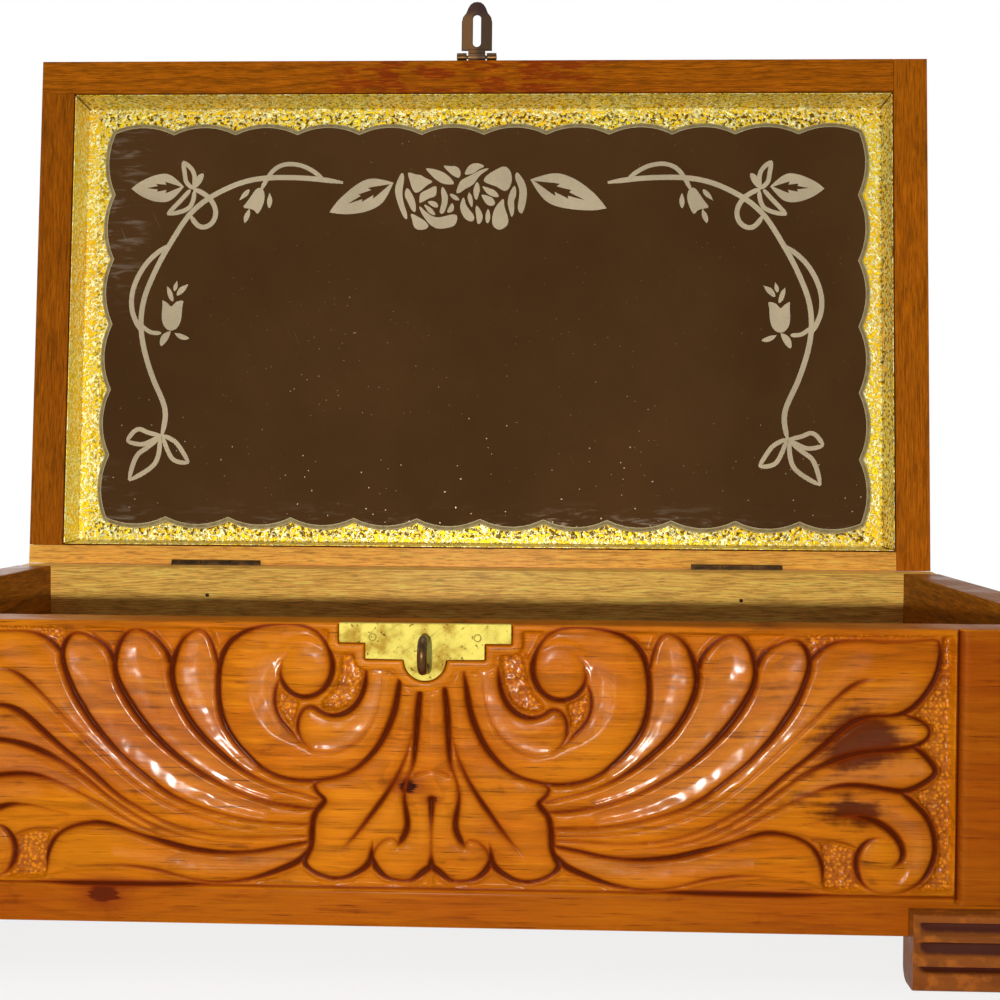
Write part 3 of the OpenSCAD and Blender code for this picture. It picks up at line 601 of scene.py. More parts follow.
def carved_material(colour, groove):
    """Amber varnish over carved wood: dark stain in the grooves, which the layer cavity tells; the same layer
    makes the field's plain ends and lower strip darker and paints a dark line of shadow in the gap round
    the lock plate. Punched ground where the layer stipple is 1, with painted shade between its beads and
    painted highlights on their tops; knots and one dark stained patch."""
    shader = Shader("carved_front_wood")
    wood, height, place = wood_nodes(shader, colour, (X, Z, Y), (-46.0, 58.0), 2.7, 0.85, knot_warp)
    blotch = shader.noise(place, 90.0, 4.0, 0.6)
    x, up = shader.dot(place, X) * PER_M, shader.dot(place, Z) * PER_M
    streak = shader.grain(x * 0.035, up * 0.5, 0.0, 4.0, 0.62)
    slow = shader.grain(x * 0.02, up * 0.05, 3.0)
    wood = shader.over(wood, (slow, 0.35, 0.65, 0.5, tone(colour, 1.2, 1.5, 1.6)),
                       (streak, 0.5, 0.72, 0.55, tone(colour, 0.42)),
                       (streak, 0.46, 0.3, 0.6, tone(colour, 1.3, 1.6, 1.8)))
    lines = shader.grain(x * 0.08, up * 2.6, 7.0, 3.0, 0.6)
    wood = shader.over(wood, (lines, 0.52, 0.7, 0.5, tone(colour, 0.45)),
                       (lines, 0.46, 0.3, 0.35, tone(colour, 1.35, 1.6, 1.7)))
    darkening = (streak - 0.5) * 1.3 + (blotch - 0.5) * 1.8
    for spot in FRONT_STAINS:
        darkening = darkening + near_spot(shader, place, spot, spot[2])
    darkening = shader.step(darkening, 0.15, 0.75)
    wood = shader.mix(darkening * 0.9, wood, srgb(58, 12, 2))
    for knot in FRONT_KNOTS:
        wood = shader.mix(near_spot(shader, place, knot, knot[2] * 3.5) * 0.8, wood, groove)
        core = near_spot(shader, place, knot, knot[2] * 1.8) + (lines - 0.5) * 1.6
        wood = shader.mix(shader.step(core, 0.2, 0.5), wood, tone(groove, 0.06))
    cavity, stipple = shader.layer("cavity"), shader.layer("stipple")
    punched = shader.cells(place, 1150.0)
    grain = shader.noise(place, 900.0, 3.0)
    # On punched ground the gaps between the beads are painted darker as shade, and the beads' tops paler as
    # highlights.
    wood = shader.over(wood, (punched, 0.4, 0.75, stipple * 0.35, tone(groove, 1.1)),
                       (punched, 0.5, 0.15, stipple * 0.85, tone(colour, 1.7, 2.0, 1.6)))
    # The layer cavity darkens the grooves with stain, the plain ends with a darker tone, and the gap round the
    # lock plate with painted shadow.
    wood = shader.over(wood, (cavity, 0.0, 0.8, 0.92, groove), (cavity, 0.6, 1.0, 0.85, tone(groove, 0.3)))
    fine = shader.bump(height, 0.04 * MM, 0.5)
    bumped = shader.bump((1.0 - punched) * stipple * 1.6 + grain * 0.3, 0.3 * MM, 1.0, fine)
    varnish = shader.step(cavity, 0.15, 0.7, 1.0, 0.15) * (shader.layer("hollow") * 0.5 + 0.08)
    varnish = varnish * (1.0 - darkening * 0.6)
    return shader.finish(Base_Color=wood, Roughness=shader.spread(blotch, 0.4, 0.52), Normal=bumped,
                         Specular_IOR_Level=0.02, Coat_Weight=varnish, Coat_Roughness=0.24)


def brass_material(colour):
    """Polished brass: long scratches, brown tarnish in blotches and grey smudges."""
    shader = Shader("lock_plate_brass")
    place = shader.place()
    blotch = shader.noise(place, 160.0, 5.0, 0.65)
    specks = shader.noise(place, 900.0, 2.0)
    scratch = shader.grain(shader.dot(place, (0.8, 0, 0.6)) * 60.0,
                           shader.dot(place, (-0.6, 0, 0.8)) * 2600.0, 0.0)
    metal = shader.over(colour, (blotch, 0.45, 0.66, 0.8, srgb(150, 116, 34)),
                        (specks, 0.64, 0.72, 0.8, srgb(84, 56, 22)))
    rough = shader.step(blotch, 0.4, 0.7, 0.66, 0.8) + shader.step(scratch, 0.55, 0.7) * 0.08
    return shader.finish(Base_Color=metal, Metallic=1.0, Roughness=rough,
                         Normal=shader.bump(scratch * 0.4 + blotch, 0.06 * MM, 0.7))


def bronze_material(colour):
    """Darkened bronze: nearly black in blotches, rubbed bright elsewhere."""
    shader = Shader("dark_bronze")
    place = shader.place()
    blotch = shader.noise(place, 210.0, 5.0, 0.7)
    grain = shader.noise(place, 1500.0, 3.0)
    metal = shader.mix(shader.step(blotch, 0.38, 0.62), colour, tone(colour, 0.3))
    metal = shader.over(metal, (grain, 0.62, 0.75, 0.5, tone(colour, 1.9)))
    return shader.finish(Base_Color=metal, Metallic=0.85, Roughness=shader.spread(blotch, 0.3, 0.55),
                         Normal=shader.bump(grain + blotch, 0.05 * MM, 0.8))


def steel_material():
    """Dull nail steel with rust specks."""
    shader = Shader("nail_steel")
    place = shader.place()
    rust = shader.noise(place, 700.0, 4.0)
    metal = shader.mix(shader.step(rust, 0.45, 0.65), srgb(120, 112, 104), srgb(86, 52, 30))
    return shader.finish(Base_Color=metal, Metallic=0.8, Roughness=shader.spread(rust, 0.38, 0.7),
                         Normal=shader.bump(rust, 0.03 * MM, 0.6))


def foil_material(colour):
    """Embossed gold foil on card. Thin crests run like worms where a noise passes its middle value and are
    painted pale as highlights; the layer deep tells how brown the hollows between them are painted as
    shade, and the layer dark how much shade is painted on the sheet."""
    shader = Shader("embossed_foil")
    place = shader.place()
    deep, dark = shader.layer("deep"), shader.layer("dark")
    slow, worms = shader.noise(place, 30.0, 3.0), shader.noise(place, 560.0, 1.5)
    fine = shader.noise(place, 820.0, 1.5)
    crest = shader.step((worms - 0.5) ** 2.0, 0.0005, 0.006, 1.0, 0.0)
    pit = shader.step(fine, 0.5, 0.42) * (1.0 - crest * 0.6) * deep
    # The crests are painted nearly white as highlights.
    metal = shader.over(colour, (slow, 0.35, 0.65, 0.5, srgb(255, 196, 32)),
                        (crest, 0.3, 1.0, 0.9, srgb(255, 254, 196)))
    # The hollows between the crests are painted dark brown as shade.
    metal = shader.mix(pit * 0.9, metal, srgb(84, 52, 6))
    # The layer dark paints shade on the uprights and along the bend.
    metal = shader.mix(dark * shader.step(fine, 0.3, 0.6, 0.5, 0.25), metal, srgb(160, 134, 24))
    return shader.finish(Base_Color=metal, Metallic=0.5 - pit * 0.35,
                         Roughness=shader.spread(fine, 0.36, 0.48),
                         Normal=shader.bump(crest * 0.6 + fine * 1.2, 0.3 * MM), Specular_IOR_Level=0.1)


def glass_material(colour):
    """Tinted mirror: a bronze tint made dark brown, which paints the reflection of a dark room; smooth, with
    faint smears, dust and hair scratches that scatter a little."""
    shader = Shader("tinted_mirror_painted_reflection")
    place = shader.place()
    x, up = shader.dot(place, X), shader.dot(place, Z)
    smear = shader.noise(place, 14.0, 5.0, 0.6)
    dust = shader.noise(place, 1300.0, 1.0)
    scratch = shader.grain((x + up * 0.45) * 2600.0, (up - x * 0.45) * 34.0, 0.0)
    marks = shader.step(scratch, 0.73, 0.78) * shader.step(smear, 0.45, 0.65)
    specks = shader.step(dust, 0.79, 0.83) * shader.step(smear, 0.4, 0.6)
    low = shader.step(up, 0.17, 0.088)
    edge = shader.step(up, 0.1, 0.088) * shader.step(x, -0.1, 0.12, 0.5, 1.0)
    edge = edge + shader.step(x, -0.114, -0.122) * 0.6
    wiped = shader.grain(x * 90.0, up * 480.0, 0.0, 4.0, 0.6, 0.8)
    grime = edge * shader.step(wiped, 0.5, 0.72) * shader.step(smear, 0.4, 0.6) * 0.6
    flecks = shader.step(shader.cells(place, 330.0), 0.1, 0.05)
    flecks = flecks * shader.step(shader.noise(place, 40.0), 0.62, 0.42)
    specks = specks + flecks * (low + 0.15)
    # The dark tint, clouded by the smears, paints the reflection of a dark room.
    cloud = shader.mix(shader.step(smear, 0.3, 0.75), tone(colour, 0.86), tone(colour, 1.2))
    tint = shader.mix(marks * 0.35 + specks * 0.8 + grime * 0.6, cloud, srgb(176, 162, 140))
    dirt = specks + marks * 0.4 + grime
    return shader.finish(Base_Color=tint, Metallic=shader.step(dirt, 0.0, 1.0, 1.0, 0.4),
                         Roughness=shader.step(smear, 0.3, 0.8, 0.03, 0.09) + specks * 0.4 + grime * 0.3)


def ground_glass_material():
    """The mirror's ground edge: greyish and satin, with fine grinding marks, and pale lines painted as
    highlights along its arrises, where the layer rim is 1."""
    shader = Shader("ground_glass_edge")
    place = shader.place()
    marks = shader.noise(place, 500.0, 3.0)
    tint = shader.mix(shader.step(marks, 0.3, 0.7), srgb(140, 124, 86), srgb(166, 152, 112))
    # Pale lines painted as highlights along the edge's arrises.
    tint = shader.mix(shader.layer("rim") * 0.8, tint, srgb(224, 214, 176))
    return shader.finish(Base_Color=tint, Metallic=0.1, Roughness=shader.spread(marks, 0.45, 0.6),
                         Normal=shader.bump(marks, 0.02 * MM, 0.4), Specular_IOR_Level=0.15)


def etched_material(colour):
    """Frosted glass of the etching: matt, slightly mottled."""
    shader = Shader("etched_frost")
    place = shader.place()
    frost = shader.noise(place, 1600.0, 3.0)
    patch = shader.noise(place, 60.0, 3.0)
    tint = shader.mix(shader.step(patch, 0.3, 0.7) * 0.6 + shader.step(frost, 0.4, 0.7) * 0.25, colour,
                      tone(colour, 0.74))
    return shader.finish(Base_Color=tint, Roughness=shader.spread(frost, 0.55, 0.8),
                         Normal=shader.bump(frost, 0.03 * MM, 0.6), Specular_IOR_Level=0.3)


def card_material():
    """Grey-brown card with fibres."""
    shader = Shader("backing_card")
    place = shader.place()
    fibres = shader.noise(place, 500.0, 4.0, 0.7)
    tint = shader.mix(fibres, srgb(150, 128, 96), srgb(108, 88, 62))
    return shader.finish(Base_Color=tint, Roughness=shader.spread(fibres, 0.8, 0.95),
                         Normal=shader.bump(fibres, 0.05 * MM, 0.6))


# Camera fitted to the photograph: its place, its angles, its lens and sensor in mm, and the photograph's size
CAMERA_AT = np.array([26.3, -410.8, 111.0]) * MM
CAMERA_YAW, CAMERA_PITCH, CAMERA_ROLL = math.radians(-2.11), math.radians(-1.38), math.radians(0.39)
CAMERA_LENS, CAMERA_SENSOR, PHOTO_PX = 51.84, 36.0, 1000


def camera_axes():
    """The camera's right, up and ahead directions from its yaw, pitch and roll."""
    yaw, pitch, roll = CAMERA_YAW, CAMERA_PITCH, CAMERA_ROLL
    ahead = np.array([math.sin(yaw) * math.cos(pitch), math.cos(yaw) * math.cos(pitch), math.sin(pitch)])
    level = np.array([math.cos(yaw), -math.sin(yaw), 0.0])
    upright = np.cross(level, ahead)
    right = math.cos(roll) * level + math.sin(roll) * upright
    return right, np.cross(right, ahead), ahead


def on_front(pixels):
    """Where the sight lines of pixels meet the front board's face: millimetres right of its middle and up
    from its rim. A third number, a half width in pixels, is scaled by the line's length."""
    p = np.asarray(pixels, float)
    right, up, ahead = camera_axes()
    focal = CAMERA_LENS / CAMERA_SENSOR * PHOTO_PX
    ray = ahead + right * (p[:, :1] - PHOTO_PX / 2) / focal + up * (PHOTO_PX / 2 - p[:, 1:2]) / focal
    reach = (FRONT_Y - CAMERA_AT[1]) / ray[:, 1:2]
    place = (CAMERA_AT + ray * reach - [0, 0, RIM_Z]) / MM
    return np.column_stack([place[:, 0], place[:, 2], p[:, 2:] * reach / focal / MM])


# Carved front. The carving's right half is drawn in pixels of the photograph and mirrored to the left about
# a line. The border round the lock plate is in mm.
CARVING_AXIS_PX = (431.5, 760)
PLATE_BORDER = 2.2

# Grooves between the leaves: x, y and half width, over and over
GROOVES_PX = [
    [463, 669, 2, 466, 690, 4, 469, 710, 4.5, 475, 728, 4.5, 484, 747, 4, 496, 762, 3.5, 511, 775, 3, 530,
     782, 2.8, 552, 786, 3, 578, 785, 3, 600, 777, 3, 616, 764, 3.5, 632, 748, 4, 644, 730, 4.5, 649, 710,
     4, 650, 690, 4, 648, 668, 4, 641, 650, 4, 629, 639, 3.5, 613, 632, 3, 595, 628, 2.6, 575, 626.5, 2.6,
     558, 629, 2.6, 547, 636, 2.5, 539, 646, 3, 534, 658, 3.5, 532, 670, 4, 535, 682, 4, 541, 692, 3.5, 550,
     698.5, 3.5, 562, 701, 3.5, 573, 698, 3.5, 581, 691, 3.5, 585.5, 682, 3, 586, 672, 2, 583, 662, 0.8],
    [585, 680, 1.5, 590, 690, 3, 592, 703, 3, 590, 716, 3, 584, 727, 3, 576, 735, 3, 570, 742, 2, 562, 749,
     1.5],
    [498, 667, 2, 499, 680, 3.5, 501, 692, 4, 506, 703, 4, 513, 712, 4, 523, 717.5, 3.6, 534, 719, 3.2, 544,
     715.5, 3, 552, 709.5, 3, 560, 711, 2.6, 566, 719, 3, 568, 729, 3, 566, 740, 2.6, 560, 749, 2, 552, 754,
     1.4],
    [483, 676, 0.7, 484, 694, 1.1, 487, 710, 1.3, 493, 726, 1.5, 502, 739, 1.6, 514, 749, 1.6, 528, 755.5,
     1.5, 542, 757, 1.4, 555, 754, 1],
    [650, 668, 3, 654, 651, 3, 660, 639, 2.5, 668, 634, 2, 677, 637, 2.5, 686, 645, 3, 692, 656, 3.5, 696.5,
     668, 5, 698, 680, 4.5, 695.5, 694, 4.5, 690, 708, 4.5, 683, 721, 4.5, 673, 735.5, 4.5, 661, 748, 4,
     648, 759, 3.8, 634, 770, 3.4, 618, 780, 2.8, 600, 788.5, 2.2, 580, 795, 2, 562, 799, 1.8, 546, 803,
     2.2],
    [699, 668, 4, 701, 660, 3.5, 706, 653, 3.2, 714, 644, 3, 725, 637.5, 2.6, 736, 635.5, 2, 745, 640, 3,
     752, 651, 3.5, 756, 664, 4, 756.5, 677, 4, 752.5, 691, 4.5, 745, 705, 5, 735, 720, 5, 722, 736, 4.5,
     708, 750, 4, 692, 764, 3.5, 674, 776, 3, 655, 787, 2.8, 636, 796, 2.4, 615, 803, 2.2, 600, 807, 2.2,
     580, 811, 2.5, 560, 813, 2.8, 547, 813.5, 2.4],
    [757, 668, 4, 761, 658, 3.5, 768, 651, 3, 777, 645.5, 2.6, 789, 641, 2.4, 799, 640.5, 2.5, 807, 648,
     3.5, 811, 659, 4, 810, 671, 4, 805, 686, 4, 797, 705, 4.5, 786, 722, 4.5, 775, 737, 4, 762, 751, 3.5,
     748, 765, 3, 733, 777, 3, 718, 789, 3, 703, 800, 3, 686, 809, 2.5, 665, 816, 2.2, 645, 821, 2, 622,
     826, 2, 600, 828, 2, 578, 829, 2.2, 554, 829, 2.2],
    [812, 660, 3.5, 820, 651, 3.2, 830, 645, 3, 842, 641, 2.4, 860, 640.5, 2, 880, 641.5, 2, 900, 642, 2,
     920, 641, 2, 936, 639, 2, 941, 643, 2.5, 942, 656, 3.5, 941, 667, 4, 937, 680, 4, 930, 692, 4, 922,
     702, 4, 913, 710, 4, 904, 714.5, 3.5, 892, 716.5, 3, 878, 716.5, 3, 865, 718, 3.5, 855, 722, 4, 845,
     729, 4, 834, 738.5, 4, 822, 748.5, 3.6, 810, 758.5, 3.3, 797, 768, 3.2, 783, 779, 3.2, 770, 790, 3.2,
     757, 801, 2.8, 741, 812, 2.5, 723, 821, 2.2, 705, 830, 2, 685, 837, 2, 660, 842.5, 1.8, 635, 844.5,
     1.8, 610, 843.5, 1.8, 585, 842, 1.8, 556, 841, 2],
    [876, 678.5, 0.5, 868, 680, 2, 859, 683, 2.8, 849, 689, 3, 838, 698, 2.6, 825, 710, 2.2, 810, 725, 1.8,
     795, 739, 1.6, 779, 754, 1.6, 762, 769, 1.6, 745, 784, 1.6, 727, 797, 1.6, 708, 809, 1.5, 688, 818,
     1.4, 665, 825.5, 1.3, 642, 831.5, 1.1, 618, 835.5, 1, 596, 836.5, 0.9, 560, 835.5, 1],
    [905, 715, 2.5, 916, 719, 3, 926, 724, 3, 932, 731, 3, 930, 739, 3.2, 921, 746, 3.5, 905, 750, 3.5, 885,
     751.5, 3.5, 865, 753, 3.5, 848, 757, 4, 832, 762.5, 3.8, 817, 769.5, 3, 802, 778, 2.5, 787, 788, 2.5,
     772, 799, 2.5, 757, 810, 2.2, 741, 820.5, 2.2, 724, 830, 2, 706, 838, 2, 686, 844, 1.8, 664, 848, 1.5,
     640, 850, 1.2, 612, 850, 1],
    [912, 748, 2.5, 920, 751, 3.5, 927, 757, 4, 934, 765, 4, 938.5, 773, 4, 933, 780, 4, 920, 788, 4, 905,
     793.5, 4, 890, 791, 3.5, 870, 787.5, 3.5, 850, 786, 3.5, 832, 788, 3, 815, 793, 2, 798, 801, 2, 782,
     808, 2, 766, 816, 2, 750, 825, 2, 735, 833, 1.8, 718, 841, 1.6, 700, 847, 1.4],
    [900, 793, 2.5, 909, 799, 3.5, 918, 807, 4, 927, 816, 4, 933, 827, 4, 936.5, 841, 4, 936.5, 855, 4, 933,
     868, 4, 927, 878, 3.5, 918, 887, 2.5, 905, 893, 2, 890, 894.5, 1.5, 876, 893, 1.5, 866, 888, 2.2, 860,
     880, 3.5, 857, 869, 4, 857.5, 858, 4, 862, 848.5, 3.5, 869, 842, 3, 880, 838, 1.5, 889, 838, 0.6],
    [800, 826, 0.8, 820, 822, 1.4, 836, 818.5, 1.8, 851, 817, 2.2, 866, 818.5, 3.5, 881, 824.5, 4.5, 894,
     833.5, 4.5, 902.5, 845, 4.2, 905, 856, 4, 901, 864.5, 3, 892, 869.5, 1.2],
    [813, 840.5, 2, 830, 840.5, 1.8, 844, 843, 2, 857, 848.5, 2],
    [823, 884, 1.5, 824.5, 871, 3.5, 820.5, 857, 3.5, 812, 846, 3, 800, 839, 3, 785, 835, 3, 770, 833.5,
     3.4, 755, 836, 3.2, 738, 842, 2.6, 720, 847.5, 3, 700, 852.5, 3.8, 680, 857.5, 3.8, 660, 860, 3.6, 640,
     861, 3.2, 620, 860, 2.8, 600, 857, 3, 580, 852, 3, 562, 848.5, 3, 551, 846, 2.5],
    [552, 852, 2.5, 560, 863, 4, 570, 870, 4.5, 583, 875.5, 4, 597, 881, 3.5, 612, 886, 3, 630, 889.5, 2.5,
     650, 891, 2.5, 668, 889.5, 2, 685, 886, 2, 705, 881, 2.5, 725, 878, 2.4, 745, 876.5, 2, 765, 877, 1.5,
     785, 879, 1, 805, 881, 0.6],
    [535, 783, 1.5, 546, 786.5, 2.4, 550, 790, 3, 546, 798, 3, 538, 804, 3.5, 542, 810, 4, 549, 817, 4,
     551.5, 830, 4, 552, 842, 4.5, 552, 852, 3.5, 557, 861, 4, 560, 868, 4, 553, 875, 3, 543, 880, 3, 530,
     883.5, 3, 517, 882, 3, 506, 877, 3.5, 497, 871, 4.2, 491.5, 864, 4.6, 491, 853, 3, 490, 843, 1.2],
    [447, 716, 0.8, 452, 738, 1.8, 457, 757, 2.2, 464, 774, 2.8, 472, 789, 3, 482, 804, 3.5, 493, 819, 3.2,
     504, 834, 2.8, 514, 846, 2.2, 523, 855.5, 0.8],
    [444, 690, 3.5, 446, 705, 4.5, 447, 722, 4.5, 448, 740, 4, 449, 757, 3.3, 450.5, 768, 2.6, 455, 778,
     2.2, 458.5, 790, 2.4, 459, 801, 3, 457, 812, 3.5, 455, 825, 4, 457, 835, 4, 462, 843, 3.6, 464.5, 847,
     2],
    [431.5, 800, 4, 431.5, 808, 4, 431.5, 822, 2.6, 431.5, 838, 1.8, 431.5, 852, 1.8, 431.5, 861, 3, 431.5,
     868, 4.5, 438, 872, 4.5, 445, 878, 3.5, 453, 882.5, 2.6, 465, 882.5, 2.6, 476, 880, 3, 484, 874, 4,
     489, 867, 4.5, 491, 860, 3],
    [431.5, 771, 1.2, 441, 772, 1.6, 449, 776, 2],
    [491, 862, 2.6, 488, 852, 2.2, 481, 844, 2, 473, 840, 1.8, 467, 841, 1.8, 464, 846, 2],
    [520, 781, 0.6, 508, 772, 1.2, 495, 762, 0.6],
    [640, 893, 1.5, 670, 893, 3.2, 720, 894.5, 4, 780, 895.5, 4, 830, 896, 2.5, 870, 896, 1],
]

# Lowered ground, punched (1) or plain (0), with its depth in mm and its outline's x and y
POCKETS_PX = [
    (1, 2.1, [500, 652, 512, 650, 523, 655, 525, 668, 527, 680, 532, 692, 540, 701, 544, 707, 540, 713, 531,
              714, 520, 711, 511, 704, 505, 694, 502, 682, 500, 668]),
    (1, 2.1, [566, 703, 575, 701, 583, 695, 588, 690, 590, 702, 588, 715, 583, 724, 576, 730, 571, 733, 570,
              725, 568, 714]),
    (0, 1.5, [513, 629, 546, 629, 540, 642, 533, 655, 527, 660, 523, 655, 512, 650, 512, 640]),
    (0, 1.5, [614, 629.5, 660, 629.5, 655, 642, 650, 658, 645, 652, 634, 640]),
    (0, 1.5, [672, 630, 729, 630, 716, 641, 705, 652, 698, 664, 693, 657, 685, 643]),
    (0, 1.5, [743, 631, 792, 633, 778, 644, 766, 652, 757, 664, 753, 652, 747, 640]),
    (1, 1.3, [806, 633, 938, 634, 936, 639, 860, 640, 842, 641, 829, 646, 819, 652, 812, 660, 808, 646]),
    (1, 2.1, [943, 636, 954, 636, 954, 892, 905, 894, 924, 888, 932, 878, 938, 867, 940, 852, 937, 832, 930,
              816, 920, 804, 912, 796, 926, 790, 938, 781, 941, 773, 935, 762, 927, 754, 918, 748, 928, 743,
              934, 736, 933, 729, 925, 722, 913, 717, 924, 706, 935, 692, 941, 677, 944, 660]),
    (1, 2.1, [821, 843, 835, 843, 848, 847, 858, 851, 856, 862, 857, 873, 861, 884, 868, 892, 845, 893, 824,
              890, 824, 871]),
    (0, 1.3, [492, 872, 500, 877, 511, 884, 530, 887, 546, 883, 556, 876, 563, 871, 575, 876, 592, 883, 612,
              889, 640, 893, 440, 890, 453, 885, 475, 884, 485, 878]),
    (0, 1.3, [431.5, 874, 438, 877, 446, 885, 450, 890, 431.5, 890]),
    (0, 0.9, [690, 888, 706, 884, 730, 881, 765, 880, 805, 883, 822, 889, 822, 894, 690, 894]),
]

# Hollows along middle lines: depth in mm, then x, y and half width, over and over
HOLLOWS_PX = [
    (1.0, [669, 650, 10, 672, 668, 15, 669, 690, 18, 662, 714, 17, 651, 737, 13, 634, 757, 9, 612, 774, 6]),
    (1.15, [733, 655, 13, 729, 680, 20, 720, 705, 21, 706, 728, 19, 688, 748, 15, 668, 766, 12, 645, 781, 9,
            620, 794, 6, 595, 802, 4]),
    (1.15, [792, 660, 13, 785, 682, 19, 775, 704, 21, 760, 726, 19, 740, 748, 16, 716, 768, 14, 690, 786,
            12, 660, 801, 10, 630, 813, 7, 600, 819, 5]),
    (0.35, [860, 660, 14, 838, 680, 15, 820, 700, 13, 800, 722, 11, 782, 742, 9, 762, 760, 8, 740, 776, 7,
            715, 793, 6]),
    (0.35, [905, 688, 16, 870, 700, 12, 848, 712, 9, 828, 730, 8, 808, 748, 7, 785, 766, 6, 762, 784, 5,
            738, 800, 4]),
    (0.55, [912, 734, 8, 885, 736, 13, 862, 741, 11, 842, 751, 8, 820, 765, 6, 798, 780, 5]),
    (0.7, [918, 770, 9, 892, 770, 15, 866, 771, 14, 844, 776, 10, 820, 785, 7, 795, 799, 5]),
    (0.3, [835, 803, 9, 862, 803, 12, 890, 810, 12, 908, 824, 12, 919, 840, 11, 920, 856, 10, 914, 870, 8]),
    (0.95, [582, 659, 4, 594, 664, 9, 601, 676, 12, 603, 692, 12, 601, 708, 12, 594, 722, 11, 583, 734, 8,
            572, 741, 5]),
    (0.5, [484, 676, 7, 487, 695, 8, 493, 712, 9, 502, 727, 10, 515, 740, 10, 531, 748, 8, 547, 749, 5]),
    (0.35, [560, 858, 5, 600, 868, 9, 650, 874, 10, 700, 868, 8, 750, 862, 6]),
]
# Curled ends that swell as balls: x, y and radius
BALLS_PX = [(560, 670, 25), (884, 864, 21)]


def near_curve(points, curve):
    """For each point the distance to a line through the curve's points, and the line's half width where it
    is nearest: the point is projected on every stretch, and the projection stays between the stretch's
    ends."""
    a, run = curve[:-1], np.diff(curve, axis=0)
    away, width = [], []
    for start in range(0, len(points), 20000):
        rel = points[start:start + 20000, None] - a[None, :, :2]
        t = bounded((rel * run[:, :2]).sum(-1) / (run[:, :2] ** 2).sum(-1))
        squares = ((rel - t[..., None] * run[:, :2]) ** 2).sum(-1)
        k = squares.argmin(1)
        rows = np.arange(len(k))
        away.append(np.sqrt(squares[rows, k]))
        width.append(a[k, 2] + t[rows, k] * run[k, 2])
    return np.concatenate(away), np.concatenate(width)


def inside(points, outline):
    """Whether points lie in a closed outline: a ray to the right crosses its sides an odd number of
    times."""
    a, b = outline, np.roll(outline, -1, 0)
    x, y = points[:, :1], points[:, 1:]
    crosses = (a[:, 1] > y) != (b[:, 1] > y)
    steep = np.where(a[:, 1] == b[:, 1], 1e-9, b[:, 1] - a[:, 1])
    return (crosses & (x < a[:, 0] + (b[:, 0] - a[:, 0]) * (y - a[:, 1]) / steep)).sum(1) % 2 == 1


# Lock plate in mm: middle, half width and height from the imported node; height of the tabs; half width and
# height of the body; radius of the drop
PLATE_LOW, PLATE_HIGH = corners("lock_plate")
PLATE_X, PLATE_HALF = (PLATE_LOW[0] + PLATE_HIGH[0]) / 2 / MM, (PLATE_HIGH[0] - PLATE_LOW[0]) / 2 / MM
PLATE_TALL = (PLATE_HIGH[2] - PLATE_LOW[2]) / MM
TAB_TALL, BODY_HALF, BODY_TALL, DROP = 4.3, 13.0, 7.8, 4.6


def plate_distance(x, z):
    """Distance in mm outside the lock plate's outline, negative inside: the least of the distances to its
    two rectangles, its drop's stem and its drop."""
    across = np.abs(x - PLATE_X)

    def block(half, low):
        dx, dz = across - half, -z - low
        return np.minimum(np.maximum(dx, dz), 0) + np.hypot(np.maximum(dx, 0), np.maximum(dz, 0))

    drop = np.hypot(across, z + PLATE_TALL - DROP) - DROP
    return np.minimum.reduce([block(PLATE_HALF, TAB_TALL), block(BODY_HALF, BODY_TALL),
                              block(DROP, PLATE_TALL - DROP), drop])


# Carved field in mm: half its width, its lower edge and its upper edge below the rim
FIELD_HALF, FIELD_LOW, FIELD_TOP = 113.5, -57.9, 1.4
# Strokes: how much wider than drawn grooves and hollows are, and how far beside a groove, in its half
# widths, and how deep the face rolls down
GROOVE_WIDER, HOLLOW_WIDER, ROLL_REACH, ROLL_DEPTH = 1.15, 1.12, 4.6, 0.62
# Depths in mm of the straight grooves at the field's sides, at its lower edge and round the lock plate
SIDE_GROOVE, LOW_GROOVE, PLATE_GROOVE = 1.9, 1.0, 0.7


def ridge(values, middle, half):
    """1 where values are at the middle, falling to 0 at the distance half from it."""
    return bounded(1 - np.abs(values - middle) / half)


